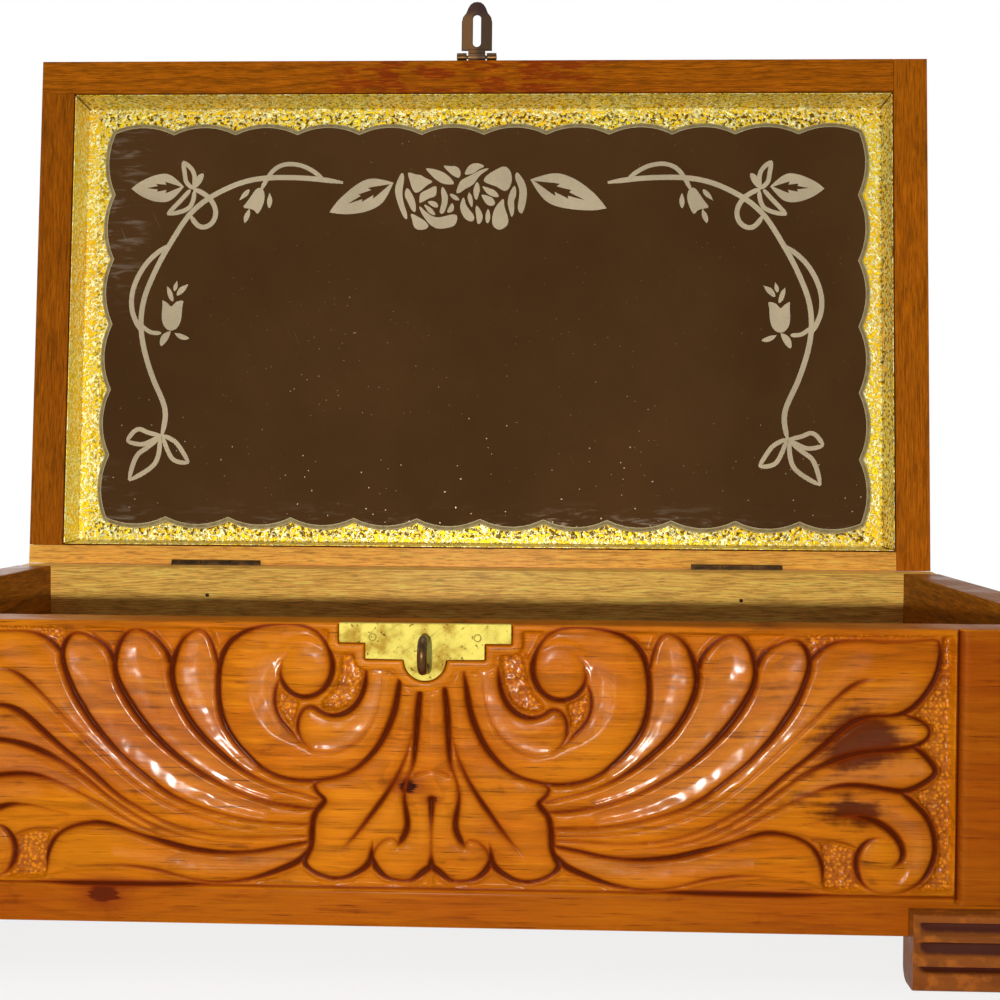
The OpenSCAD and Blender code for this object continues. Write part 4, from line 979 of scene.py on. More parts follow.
def carving_strokes(points, ground):
    """What the strokes do at points in mm: the grooves' cut, the roll of the face beside them, the hollows'
    depth, the grooves' stain, the pockets' depth times ground, and 1 on punched ground. Grooves are V cuts
    about as deep as their half width h; at the distance d from them the face rolls down by
    ROLL_DEPTH h (1 - d / ROLL_REACH h)^1.7; hollows sink by w = 1 - sqrt(u^2 + 0.05), eased at its edge as
    (w + sqrt(w^2 + 0.02)) / 2, where u is the distance from the middle line over the half width; pockets
    sink by a steep ramp from their outline; balls swell back up towards their middle."""
    cut, shoulder, sink, dyed, pocket, punched = np.zeros((6, len(points)))

    def close(curve, margin):
        low, high = curve[:, :2].min(0) - margin, curve[:, :2].max(0) + margin
        return np.flatnonzero(((points > low) & (points < high)).all(1))

    def beside(line, margin):
        curve = smooth_curve(on_front(np.reshape(line, (-1, 3))), steps=4)
        near = close(curve, margin)
        return near, *near_curve(points[near], curve)

    def deepen(values, near, depth):
        values[near] = np.maximum(values[near], depth)

    for line in GROOVES_PX:
        near, away, half = beside(line, 7)
        half = half * GROOVE_WIDER
        deepen(cut, near, 1.1 * half * bounded(1 - away / half) ** 0.85)
        roll = bounded(1 - away / (ROLL_REACH * half))
        deepen(shoulder, near, ROLL_DEPTH * half * roll ** 1.7)
        deep = np.clip(half / 0.9, 0.35, 1) * np.clip(1.25 - away / half, 0, 1.15)
        deepen(dyed, near, np.maximum(deep, 0.34 * bounded(half / 0.7) * roll))
    for depth, line in HOLLOWS_PX:
        near, away, half = beside(line, 8)
        u = away / (HOLLOW_WIDER * half)
        wall = 1 - np.sqrt(u ** 2 + 0.05)
        wall = (wall + np.sqrt(wall ** 2 + 0.02)) / 2 * bounded((1.7 - u) / 0.6)
        deepen(sink, near, depth * wall)
    for punch, depth, line in POCKETS_PX:
        outline = on_front(np.reshape(line, (-1, 2)))
        closed = np.column_stack([np.concatenate([outline, outline[:1]]), np.ones(len(outline) + 1)])
        near = close(closed, 1)
        within = inside(points[near], outline)
        away, _ = near_curve(points[near], closed)
        ramp = np.where(within, bounded(away / 0.9 + 0.35), bounded(0.35 - away / 0.9))
        deepen(pocket, near, depth * ramp * ground)
        if punch:
            deepen(punched, near, np.where(within, bounded(away / 0.8), 0))
    for across, up, radius in on_front(BALLS_PX):
        u = np.hypot(points[:, 0] - across, points[:, 1] - up) / radius
        shoulder = np.maximum(shoulder, 0.5 * u ** 3 * bounded((1.3 - u) / 0.3))
    return cut, shoulder, sink, dyed, pocket, punched


def carved_height(x, z, form):
    """Height in mm of the carved face over a grid in mm, never above 0; the darkening: stain, 1 in the
    grooves' bottoms, a darker tone of 0.46 and 0.41 on the field's plain ends and lower strip, and a dark
    line painted as shadow in the gap round the lock plate; 1 on punched ground; and 1 in hollows. Slow
    noise sways the strokes, which are mirrored about the carving's middle, and finer noise gives the face
    its gouge marks."""
    axis = on_front([CARVING_AXIS_PX])[0, 0]
    wx = axis + np.abs(x - axis) + 0.12 * lattice_noise(x, z, 16.0, 3)
    points = np.stack([wx.ravel(), (z + 0.12 * lattice_noise(x, z, 16.0, 4)).ravel()], -1)
    strokes = carving_strokes(points, form.ground / (GROUND_MM * MM))
    cut, shoulder, sink, dyed, pocket, punched = (values.reshape(x.shape) for values in strokes)
    scale = form.groove / (GROOVE_MM * MM)
    bumps = lattice_noise(x, z, 1.0, 11) * 0.22 + lattice_noise(x, z, 0.6, 12) * 0.1
    depth = np.maximum(np.maximum(cut * scale, pocket - bumps * punched), 0)
    depth = depth + (shoulder + sink) * (pocket < 0.5)
    out_side, out_low, out_top = np.abs(x) - FIELD_HALF, FIELD_LOW - z, z + FIELD_TOP
    outside = np.maximum(np.maximum(out_side, out_low), out_top)
    depth = np.where(outside > 0, 0, depth * bounded(-outside / 0.5))
    side = np.where(out_low < 1, ridge(out_side, 0.35, 0.85), 0)
    low = np.where(out_side < 1, ridge(out_low, 0.1, 0.6), 0)
    depth = np.maximum(depth, np.maximum(side * SIDE_GROOVE, low * LOW_GROOVE))
    plate = plate_distance(x, z)
    border = bounded((plate - PLATE_BORDER) / 0.5)
    rim = ridge(plate - PLATE_BORDER, 0.35, 0.5) * (outside < 0)
    depth = np.maximum(depth * border, PLATE_GROOVE * rim)
    gap = np.clip((0.3 - plate) * 4, 0, 1.25)
    gouge = lattice_noise(x, z, 2.6, 21) * 0.06 + lattice_noise(x, z, 9.0, 22) * 0.07
    gouge = gouge + lattice_noise(x * 0.6, z, 1.4, 23) * 0.03
    gouge = gouge + lattice_noise(x, z, 1.7, 24) * 0.08 * bounded(sink * 3)
    height = -np.maximum(depth, gap) + np.where((outside < 0) & (plate > PLATE_BORDER), gouge, gouge * 0.3)
    darkening = np.maximum(np.maximum(dyed, side), np.maximum(low * 0.8, rim * 0.45)) * border
    # The plain ends and the strip below the field are made darker: 0.46 and 0.41.
    darkening = np.where(outside < 0.9, darkening, np.where(out_side > 0, 0.46, np.where(out_low > 0, 0.41, 0.0)))
    # A dark line painted as shadow in the gap round the lock plate.
    darkening = darkening + ridge(plate, 0.1, 0.3)
    return np.minimum(height, 0), darkening, punched * border, bounded(sink * 3 + punched * 0.35)


def softened(values):
    """Values on a grid blurred by the weights 1 2 1 down and across."""
    values = np.pad(values, 1, mode="edge")
    values = (values[:-2] + 2 * values[1:-1] + values[2:]) / 4
    return (values[:, :-2] + 2 * values[:, 1:-1] + values[:, 2:]) / 4


def front_half(side, form, ease):
    """One half of the front board, from the middle to its end, as a loft whose rings are sections of the
    board: rows up the carved face, over the rim, down the inside and round the rebate for the bottom."""
    end, front = (FRONT_HIGH[0] - HAIR) / MM, (FRONT_Y + HAIR) / MM
    low = (FRONT_LOW[2] - FRONT_HIGH[2]) / MM
    cell = form.cell / MM
    columns = np.concatenate([
        np.linspace(0, FIELD_HALF, int(FIELD_HALF / cell) + 1),
        FIELD_HALF + np.array([0.3, 0.6, 0.9, 1.2, 1.5, 2.5]),
        np.linspace(FIELD_HALF + 5, end - 1.5, 7), [end - 0.7, end - 0.25, end]])
    rows = np.concatenate([
        [low + 0.5, low + 2, low + 5, low + 7], np.arange(FIELD_LOW - 1.2, FIELD_LOW, 0.3),
        np.linspace(FIELD_LOW, -0.5, int(-FIELD_LOW / cell) + 1)])
    x, z = np.meshgrid(columns * side, rows, indexing="ij")
    height, *layers = carved_height(x, z, form)
    height = softened(height)
    height[-3:] = np.minimum(height[-3:], -np.array([0.06, 0.2, 0.5])[:, None])
    face = np.stack([x, front - height, RIM_Z / MM + z], -1)
    top_depth = np.maximum(-height[:, -1], 0)
    back, inner, sill = FRONT_HIGH[1] / MM, FLOOR_LOW[1] / MM, FLOOR_HIGH[2] / MM
    bottom, rim = (FRONT_LOW[2] + HAIR) / MM, (RIM_Z - HAIR) / MM
    e = ease / MM
    edge = [(front + np.maximum(0.15, top_depth), rim - 0.15),
            (front + np.maximum(0.5, top_depth + 0.1), rim),
            (back - e, rim), (back - e * 0.3, rim - e * 0.3), (back, rim - e), (back, sill), (inner, sill),
            (inner, bottom), (front + 0.5, bottom), (front + 0.15, bottom + 0.15)]
    place = x[:, 0]
    loop = np.stack([np.stack([place, 0 * place + y, 0 * place + level], -1) for y, level in edge], 1)
    layers = [np.pad(layer, ((0, 0), (0, len(edge)))) for layer in layers]
    return loft(np.concatenate([face, loop], 1) * MM), dict(zip(("cavity", "stipple", "hollow"), layers))


# Boards and strips


def bar(stations, sections, axes=(0, 1, 2)):
    """A loft along one axis: stations are its places, sections its outlines across, and axes names the axis
    along and the two across."""
    rings = np.zeros((len(stations), sections.shape[1], 3))
    rings[..., axes[0]] = np.asarray(stations)[:, None] if np.ndim(stations) == 1 else stations
    rings[..., axes[1]] = sections[..., 0]
    rings[..., axes[2]] = sections[..., 1]
    return rings


def plain_bar(low, high, axis, ease):
    """A bar along the axis numbered axis with rounded edges and ends: the section shrinks by a quarter
    circle over the ease at both ends."""
    a, b = [k for k in range(3) if k != axis]
    section = around(eased(rectangle(low, high, a, b), ease * 1.2))
    bend = np.array([0.0, 0.35, 1.0])
    shrink = ease * (1 - np.sqrt(1 - (1 - bend) ** 2))
    run = ease * bend
    stations = np.concatenate([low[axis] + run, high[axis] - run[::-1]])
    sections = np.stack([inset(section, s) for s in np.concatenate([shrink, shrink[::-1]])])
    return bar(stations, sections, (axis, a, b))


def rebated_outline(low, high, sill, tongue, inward):
    """Section of a wall of the box: a rectangle from the outer to the inner face, cut back by the bottom
    board's tongue below the sill. Inward is 1 where the inside is at the high end of the axis across."""
    outer, inner = (low[0], high[0]) if inward > 0 else (high[0], low[0])
    return np.array([[outer, low[1]], [tongue, low[1]], [tongue, sill], [inner, sill], [inner, high[1]],
                     [outer, high[1]]])


# Notches for the hinges: radius of the room round the knuckles, gap beside them and length of the taper
KNUCKLE_ROOM, KNUCKLE_GAP, NOTCH_TAPER = 1.7 * MM, 0.2 * MM, 24 * MM


def hinge_spans():
    """Start and end along X of the two knuckles' notches."""
    leaves = [corners(f"hinge_{side}_box_leaf") for side in ("left", "right")]
    return [(low[0] - KNUCKLE_GAP, high[0] + KNUCKLE_GAP) for low, high in leaves]


def notched_bar(low_x, high_x, plain, notched, beside=None):
    """A bar along X whose section is the plain one, and the notched one over the hinges. It may taper to
    the section that lies beside each notch."""
    beside = plain if beside is None else beside
    stations, sections = [low_x], [plain]
    for start, end in hinge_spans():
        stations += [start - NOTCH_TAPER, start, start, end, end, end + NOTCH_TAPER]
        sections += [plain, beside, notched, notched, beside, plain]
    return bar(np.array(stations + [high_x]), np.stack(sections + [plain]))


def knuckle_arc(start, end, centre, steps=8):
    """Points of the knuckle's notch from one angle to another, in degrees, around the hinge axis."""
    angle = np.radians(np.linspace(start, end, steps))
    return np.stack([np.cos(angle), np.sin(angle)], -1) * KNUCKLE_ROOM + centre


# Etched ornament and mirror. The outlines are pixels read off the 1000 by 1000 photograph, and the
# mirror's four corner cusps there place them on the glass. The left half is mirrored about an axis.
MIRROR_CUSPS_PX = [(118, 131), (874, 131), (107, 523), (865, 525)]
ETCH_AXIS_PX = (481.5, 327)
LINE_WIDTH = 2.7 * 0.337 * MM  # half the width of an etched line: 2.7 px at 0.337 mm a pixel

ROSE_PETALS = [
    [412, 172, 414.5, 178.5, 411.5, 193, 412.5, 203.5, 417, 216.5, 416, 222, 412, 218, 407.5, 206.5, 403.5,
     191.5, 407, 181.5],
    [416.5, 187, 423, 197.5, 425.5, 206.5, 425, 215, 420.5, 211.5, 416.5, 202, 413.5, 196.5],
    [416.5, 172.5, 426.5, 176, 431, 176, 434.5, 179, 444.5, 183, 437, 186, 430.5, 192.5, 425, 195, 421.5,
     190, 419, 180],
    [434.5, 169, 443.5, 170, 452, 172.5, 459.5, 177.5, 465.5, 185.5, 459.5, 186, 452, 185, 445, 180.5, 439,
     174],
    [452, 166, 459.5, 167.5, 467, 167, 471.5, 172.5, 470, 179.5, 465.5, 178.5, 459.5, 174],
    [474, 176.5, 477, 169.5, 481.5, 165, 489, 164, 496.5, 167.5, 489, 170.5, 486, 173.5, 481.5, 175.5],
    [501, 169, 492, 170.5, 486, 174, 477, 178.5, 471, 181.5, 468.5, 186, 465.5, 195, 470, 194.5, 475.5, 190,
     481.5, 187.5, 486, 183, 489, 177.5, 496, 172.5],
    [493, 182, 497.5, 176, 506.5, 171, 514, 167, 520, 169.5, 523, 178.5, 521, 188, 516.5, 193, 512, 191.5,
     506.5, 187.5, 497.5, 185],
    [527, 172, 533, 179, 537.5, 188.5, 537, 200.5, 534.5, 210.5, 531.5, 216.5, 527.5, 211.5, 528.5, 203.5,
     530, 194.5, 529, 187.5, 525, 179],
    [525, 185.5, 527, 191.5, 526, 199, 524, 202, 524.5, 209, 524, 215, 521.5, 220, 519, 212, 517.5, 203.5,
     519.5, 194.5],
    [430, 194, 437.5, 191, 446.5, 186, 446.5, 193, 445.5, 198, 439, 199.5, 432, 203.5, 428.5, 205, 429,
     199],
    [452, 187, 455, 191, 458, 197.5, 457.5, 203.5, 456, 209, 453, 216, 448.5, 214.5, 450.5, 208, 452, 200.5,
     450.5, 193],
    [458.5, 194.5, 465.5, 196, 470.5, 202, 465.5, 202, 461.5, 199.5],
    [462, 203.5, 464, 208.5, 463, 213.5, 455.5, 215, 459, 208],
    [436.5, 203.5, 440.5, 202, 446.5, 203.5, 448.5, 208.5, 445, 209.5, 440.5, 207],
    [432.5, 205, 438.5, 208, 442, 210.5, 446, 217.5, 440.5, 216, 437, 213],
    [428, 206.5, 433, 211, 439, 216.5, 446.5, 219.5, 453.5, 218, 461, 216, 467.5, 216, 466, 225.5, 461, 229,
     448, 231, 442, 228.5, 436, 223, 430, 213.5],
    [419, 214, 427, 218, 434.5, 222.5, 438.5, 227.5, 435.5, 231, 427, 232, 422.5, 228.5, 421.5, 221.5],
    [474, 197, 475.5, 206.5, 480, 212, 484.5, 218, 483, 223.5, 477, 222.5, 472.5, 218, 469.5, 210, 470.5,
     203.5],
    [479, 192.5, 482, 197.5, 483, 203.5, 482, 210, 479.5, 205.5, 477, 199],
    [487.5, 181.5, 490.5, 189, 489, 196, 486.5, 203, 483.5, 197.5, 483.5, 189.5],
    [491.5, 187, 499, 189.5, 505.5, 191.5, 510.5, 199, 503.5, 198.5, 497.5, 195.5, 494.5, 191.5],
    [490.5, 195.5, 497.5, 197, 503.5, 199.5, 506, 206, 500.5, 208, 496, 205.5, 493, 200.5],
    [486.5, 206, 490.5, 211.5, 493, 218, 491, 224.5, 487, 226.5, 486, 218, 485, 210.5],
    [498, 209, 500.5, 216.5, 499.5, 222.5, 497, 226, 495, 221.5, 495.5, 215],
    [514.5, 199, 514, 208, 518.5, 219.5, 518, 227, 509.5, 232.5, 502.5, 228.5, 501.5, 221, 504, 210.5,
     509.5, 203.5],
]
# Filled shapes of the left half: loose petals, buds and small leaves
FILLED = [
    [266.5, 189, 271, 190, 273, 198.5, 270, 208.5, 265, 217, 261.5, 210.5, 249, 209.5, 254, 204, 260, 195.5,
     263.5, 190.5],
    [246.5, 202, 250, 194, 258, 189, 256, 197],
    [277.5, 194, 281, 202, 277, 212, 274, 203],
    [257, 210, 258, 217, 251.5, 227, 250.5, 217],
    [168, 302.5, 173, 305, 177, 310, 180.5, 305, 185, 303, 190, 302.5, 188, 309, 187.5, 320, 185, 328,
     180.5, 332.5, 174, 333.5, 168.5, 328, 167, 320, 168, 309],
    [173, 288.5, 178, 293, 180, 305, 175, 302, 172.5, 294],
    [183, 283, 184, 290, 180, 294.5, 178.5, 289],
    [194.5, 286.5, 190, 295, 181, 299.5, 185, 289],
    [176.5, 333.5, 174, 342, 165.5, 351, 165, 341, 170, 335],
    [180, 335.5, 187, 336, 197, 341, 189, 343, 183, 340],
    [200, 190, 202, 182, 204.5, 176, 211.5, 173.5, 210, 181, 205, 188],
]
# Lines of the left half, each with its half width as a share of a full line's
LINES = [
    (1.0, [352, 184, 331, 180.5, 300, 178.5, 270, 179, 249, 183.5, 230, 191.5, 213, 201, 199, 212.5, 189,
           225, 179, 241, 168, 259, 158, 279, 150, 298, 146.5, 315, 146, 331, 148, 347, 152.5, 365, 159,
           384, 167, 401, 170.5, 412, 170.5, 424, 166.5, 439]),
    (0.85, [333, 181, 320, 169.5, 300, 164, 285, 167.5, 275, 179, 268.5, 192]),
    (0.95, [174, 247, 159, 257, 146, 273, 138, 291, 136, 307, 139, 321, 146, 334]),
    (0.8, [147, 328, 152, 333, 159, 336, 166.5, 335.5]),
    (0.95, [200, 190, 210, 194, 219, 202, 223.5, 213, 220.5, 224, 211, 230, 202, 226.5, 197, 217]),
    (0.85, [200, 190, 192.5, 185, 191.5, 175, 189.5, 162.5]),
    (0.85, [189.5, 162.5, 197.5, 167.5, 202.5, 178, 200.5, 190]),
    (0.85, [197, 191, 190, 199, 181, 208, 173.5, 216]),
    (0.85, [201, 192, 201, 202, 193, 213.5, 173.5, 216]),
    (0.85, [166, 438, 153, 436, 144, 430.5, 136, 436, 131.5, 444]),
    (0.85, [166, 438.5, 156, 444, 144, 448.5, 131.5, 444]),
    (0.9, [164.5, 440, 153, 450, 138, 459, 133.5, 483]),
    (0.9, [165, 440, 165, 458, 155, 473, 133.5, 483]),
    (0.85, [167.5, 438, 178, 441.5, 186, 450.5, 194, 465]),
    (0.85, [167.5, 439, 172, 453, 180, 466, 194, 465]),
]
# Leaves with a dark, barbed midrib: base, tip and height in px, and whether the leaf is mirrored too. Their
# edges and their midrib are given as shares of the length and of the height.
VEINED = [((190.5, 188), (137, 190), 29, True), ((403, 184), (338, 214), 30, False),
          ((541, 181), (617, 210), 33, False)]
LEAF_TOP = [(0, 0.0), (0.12, 0.26), (0.3, 0.5), (0.52, 0.46), (0.75, 0.3), (0.9, 0.16), (1, 0)]
LEAF_LOW = [(0, 0.0), (0.12, -0.26), (0.3, -0.52), (0.55, -0.5), (0.78, -0.32), (0.92, -0.14), (1, 0)]
VEIN = [(0.05, 0.0), (0.3, 0.17), (0.36, 0.2), (0.33, 0.09), (0.52, 0.14), (0.5, 0.06), (0.72, 0.0)]


def plane_map(pixels, targets):
    """The eight numbers of the perspective map that sends four pixels to four places, from eight linear
    equations."""
    rows, values = [], []
    for (x, y), (u, v) in zip(pixels, targets):
        rows += [[x, y, 1, 0, 0, 0, -u * x, -u * y], [0, 0, 0, x, y, 1, -v * x, -v * y]]
        values += [u, v]
    return np.append(np.linalg.solve(rows, values), 1).reshape(3, 3)


# Scallops along the mirror's width and height, and how far they bulge
SCALLOPS, SCALLOP_RISE = (12, 6), 2.5 * MM


def scalloped_outline(low, high, counts, rise, steps=9):
    """The mirror's outline, anticlockwise: each side is a row of equal circular arcs over straight chords,
    which bulge outwards by rise and meet in cusps."""
    starts = rectangle(low, high)
    outline = []
    for a, b, count in zip(starts, np.roll(starts, -1, 0), counts * 2):
        chord = np.linalg.norm(b - a) / count
        radius = (chord ** 2 / 4 + rise ** 2) / (2 * rise)
        half = math.asin(chord / 2 / radius)
        angle = np.tile(np.linspace(-half, half, steps, endpoint=False), count)
        start = np.repeat(np.arange(count), steps) * chord
        along = start + chord / 2 + radius * np.sin(angle)
        out = radius * np.cos(angle) - radius * math.cos(half)
        way = unit(b - a)
        outline.append(a + way * along[:, None] - left_of(way) * out[:, None])
    return np.concatenate(outline)


def etched_parts(low, high, face):
    """All etched shapes as thin plates on the glass: filled outlines, and lines swept along smooth curves,
    with tapered ends. Each is a loft from just inside the glass to a hair above it, in the closed lid's
    frame."""
    # The lid's front edge, at the low end of y, is up in the photograph
    cusps = [(x / MM, y / MM) for y in (low[1], high[1]) for x in (low[0], high[0])]
    matrix = plane_map(MIRROR_CUSPS_PX, cusps)

    def placed(pixels):
        p = np.reshape(pixels, (-1, 2))
        p = np.column_stack([p, np.ones(len(p))]) @ matrix.T
        return p[:, :2] / p[:, 2:] * MM

    axis = placed(ETCH_AXIS_PX)[0, 0]
    parts = []

    def plate(outline, both):
        for sign in ((1, -1) if both else (1,)):
            p = np.column_stack([axis + sign * (outline[:, 0] - axis), outline[:, 1]])
            levels = face + 0.05 * MM, face - (0.03 + 0.0015 * len(parts)) * MM
            parts.append(loft(open_lid([at_level(p, level) for level in levels])))

    for petal in ROSE_PETALS:
        plate(smooth_curve(placed(petal), closed=True, steps=3), False)
    for shape in FILLED:
        sharp = placed(shape[:2] + shape)
        plate(smooth_curve(sharp, closed=True, steps=4)[1:], True)
    for width, line in LINES:
        curve = smooth_curve(placed(line), steps=7)
        t = np.linspace(0, 1, len(curve))
        half = np.maximum(np.minimum(1, np.minimum(t, 1 - t) * len(line) * 0.75 + 0.45), 0.3)
        left, right = sides_of(curve, half * width * LINE_WIDTH)
        plate(np.concatenate([left, right[::-1]]), True)
    for base, tip, tall, both in VEINED:
        run = np.array(tip, float) - base
        rise = unit(left_of(run)) * tall
        for edge, sign in ((LEAF_TOP, 1), (LEAF_LOW, -1)):
            rim = smooth_curve(edge, steps=5)
            rib = np.array([(t, h * sign) for t, h in VEIN])
            outline = np.concatenate([rim, rib[::-1], [(0.0, 0.0)]])
            plate(placed(base + outline[:, :1] * run + outline[:, 1:] * rise), both)
    return parts


# Operators: one for each piece or group of like pieces


class VANITY_OT_carved_front(Operator):
    """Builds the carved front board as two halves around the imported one"""

    bl_idname = "vanity.carved_front"
    bl_label = "Carved front"

    def execute(self, context):
        wood, carving = settings().wood, settings().carving
        material = carved_material(wood.front, wood.grooves)
        for side, name in ((1, "carved_front_right"), (-1, "carved_front_left")):
            skin, layers = front_half(side, carving, wood.edge)
            add_piece(name, skin, [material], "box", ["front_board"], sharp=50,
                      layers=layers)
        return {"FINISHED"}


class VANITY_OT_box_boards(Operator):
    """Builds the back, side and bottom boards with eased edges and rebates"""

    bl_idname = "vanity.box_boards"
    bl_label = "Box boards"

    def execute(self, context):
        wood = settings().wood
        ease = wood.edge
        sill = FLOOR_HIGH[2]
        pale = wood_material("pale_back_wood", wood.pale, (X, Z, Y), (-30, 90), 0.75, 0.4, 0.75)
        sides = wood_material("side_board_wood", wood.box, (Y, Z, X), (20, 70), 2.2)
        under = wood_material("bottom_wood", wood.box, (X, Y, Z), (10, 50), 3.5, 0.5)
        crisp = 1e-5
        low, high = BACK_LOW + [HAIR, 0, HAIR], BACK_HIGH - HAIR
        outline = rebated_outline(low[1:], high[1:], sill, FLOOR_HIGH[1], -1)[:5]
        body = eased(outline, [ease, crisp, crisp, crisp, ease])
        corner = eased(rectangle(low, high, 1, 2, 2), ease, 7)[:8]
        plain = np.concatenate([body, corner[::-1]])
        notch = np.concatenate([body, knuckle_arc(182, 268, (BACK_HIGH[1], RIM_Z))])
        add_piece("back_board_eased", loft(notched_bar(low[0], high[0], plain, notch)), [pale], "box",
                  ["back_board"], flat=True)
        for node, inward, tongue in (("left_board", 1, FLOOR_LOW[0]), ("right_board", -1, FLOOR_HIGH[0])):
            low, high = corners(node)
            low = low + [HAIR * (inward > 0), 0, HAIR]
            high = high - [HAIR * (inward < 0), 0, HAIR]
            outline = rebated_outline(low[[0, 2]], high[[0, 2]], sill, tongue, inward)
            section = eased(outline, [ease, crisp, crisp, crisp, ease, ease])
            rings = bar(np.array([low[1], high[1]]), np.stack([section, section]), (1, 0, 2))
            add_piece(node + "_eased", loft(rings), [sides], "box", [node], flat=True)
        low, high = FLOOR_LOW + [0, 0, 2 * HAIR], FLOOR_HIGH
        add_piece("bottom_board_eased", loft(plain_bar(low, high, 0, 0.2 * MM)), [under], "box",
                  ["bottom_board"], flat=True)
        return {"FINISHED"}


class VANITY_OT_feet(Operator):
    """Builds the eight mitred, reeded foot strips"""

    bl_idname = "vanity.feet"
    bl_label = "Reeded feet"

    def execute(self, context):
        wood = settings().wood
        along_x = foot_material("foot_wood_front", wood.feet, (X, Y, Z))
        along_y = foot_material("foot_wood_side", wood.feet, (Y, X, Z))
        for end in ("front", "back"):
            for side in ("left", "right"):
                for part, material in (("", along_x), ("_return", along_y)):
                    node = f"foot_{end}_{side}{part}"
                    skin, cavity = foot_strip(node, end, side, part == "_return")
                    add_piece(f"reeded_{node}", skin, [material], "box", [node], sharp=40,
                              layers={"cavity": cavity})
        return {"FINISHED"}


# Grooves of a foot: upper edge below the foot's top and height, as shares of the foot's height; their
# depth, and the radius of the foot's inner lower edge
REEDS = ((0.103, 0.17), (0.364, 0.212), (0.673, 0.11))
REED_DEPTH, FOOT_ROUND = 1.5 * MM, 3.2 * MM


def foot_material(name, colour, axes):
    """Worn varnished wood; the reeds' hollows, told by the layer cavity, are painted nearly black as shade."""
    shader = Shader(name)
    wood, height, place = wood_nodes(shader, colour, axes, (30.0, 30.0), 1.8, 0.9)
    worn = shader.noise(place, 260.0, 4.0, 0.6)
    # The reeds' hollows, where the layer cavity is high, are painted nearly black as shade.
    wood = shader.over(wood, (worn, 0.5, 0.7, 0.5, tone(colour, 2.0)),
                       (shader.layer("cavity") + worn * 0.3, 0.35, 0.8, 0.95, srgb(52, 14, 5)))
    return shader.finish(Base_Color=wood, Roughness=shader.spread(worn, 0.4, 0.6),
                         Normal=shader.bump(height + worn, 0.08 * MM, 0.8), Specular_IOR_Level=0.1,
                         Coat_Weight=0.1, Coat_Roughness=0.22)


def foot_strip(node, end, side, is_return):
    """A foot strip as a loft along its run. Its section goes down the outer face, where each groove dips by
    a skewed half wave, steep above and sloping below, round the worn lower edge, up the rounded inner edge
    and under the board. The grooves start gently near the free end, and the other end is cut at 45
    degrees."""
    low, high = corners(node)
    at_front, at_left = end == "front", side == "left"
    faces_low, starts_low = (at_left, at_front) if is_return else (at_front, at_left)
    axis, run_axis = (0, 1) if is_return else (1, 0)
    box_low, box_high = (FRONT_LOW[0], FRONT_HIGH[0]) if is_return else (FRONT_LOW[1], BACK_HIGH[1])
    face, outwards = (box_low, -1) if faces_low else (box_high, 1)
    outer, under = (low, high) if faces_low else (high, low)
    proud, under = abs(outer[axis] - face), abs(under[axis] - face)
    tall, seat = high[2] - low[2], FRONT_LOW[2] - low[2]
    height = tall * (1 - 0.02 - 0.93 * np.linspace(0, 1, 60))
    dip = np.zeros(len(height))
    for top, size in REEDS:
        s = bounded((1 - height / tall - top) / size)
        dip = np.maximum(dip, np.sin(np.pi * s ** 0.45) ** 0.8)
    corner, free = (low, high) if starts_low else (high, low)
    corner, free = corner[run_axis], free[run_axis]
    length = abs(free - corner)
    stations = np.concatenate([[0, 0.35, 1.1, 1.6, 2.2, 3, 4.2, 6, 9],
                               np.linspace(14, length / MM - 8, 8)]) * MM
    stations = length - np.concatenate([stations, [length]])
    start = bounded((length - stations - 1.0 * MM) / (2.2 * MM)) ** 0.6
    ease = np.clip(0.35 * MM - (length - stations), 0, None)
    # How much shade is painted in each reed's hollow, most where it dips deepest.
    cavity = dip * start[:, None]
    out = proud - cavity * REED_DEPTH
    bend = np.linspace(0, math.pi / 2, 6)
    worn = [(proud - 0.15 * MM, 0.35 * MM), (proud - 0.8 * MM, 0.0)]
    lower = [(-under + FOOT_ROUND * (1 - math.sin(a)), FOOT_ROUND * (1 - math.cos(a))) for a in bend]
    rest = np.array([*worn, *lower, (-under, seat), (0, seat), (0, tall), (proud - 0.4 * MM, tall)])
    offset = np.concatenate([out, np.broadcast_to(rest[:, 0], (len(stations), len(rest)))], 1)
    offset = offset - np.sign(offset) * ease[:, None]
    reach = np.broadcast_to(stations[:, None], offset.shape).copy()
    reach[-1] = proud - offset[-1]
    rings = np.zeros((*offset.shape, 3))
    rings[..., axis] = face + outwards * offset
    rings[..., run_axis] = corner + np.sign(free - corner) * reach
    rings[..., 2] = low[2] + np.concatenate([height, rest[:, 1]])
    return loft(rings), np.pad(cavity, ((0, 0), (0, len(rest))))


# Staple: radius of its wire and of the bends at its ears
STAPLE_WIRE, STAPLE_BEND = 1.05 * MM, 1.2 * MM


def staple_path():
    """Middle line of the staple's wire: an ear that bends outwards, a half circle, and the first ear turned
    half round for the other."""
    low, high = corners("staple")
    x, z = (low[0] + high[0]) / 2, (low[2] + high[2]) / 2
    half = (high[2] - low[2]) / 2 - STAPLE_WIRE
    inside, bow = high[1] - STAPLE_WIRE, low[1] + STAPLE_WIRE + half
    arc = np.radians(np.linspace(90, -90, 13))
    loop = np.column_stack([0 * arc + x, bow - half * np.cos(arc), z + half * np.sin(arc)])
    bend = np.radians(np.linspace(0, 90, 5))
    ear = np.column_stack([x + STAPLE_BEND * (1 - np.sin(bend)),
                           inside - STAPLE_BEND * (1 - np.cos(bend)), 0 * bend + z + half])
    upper = np.concatenate([[[high[0], inside, z + half]], ear])
    lower = (upper[::-1] - [x, 0, z]) * [-1, 1, -1] + [x, 0, z]
    return np.concatenate([upper, loop, lower])


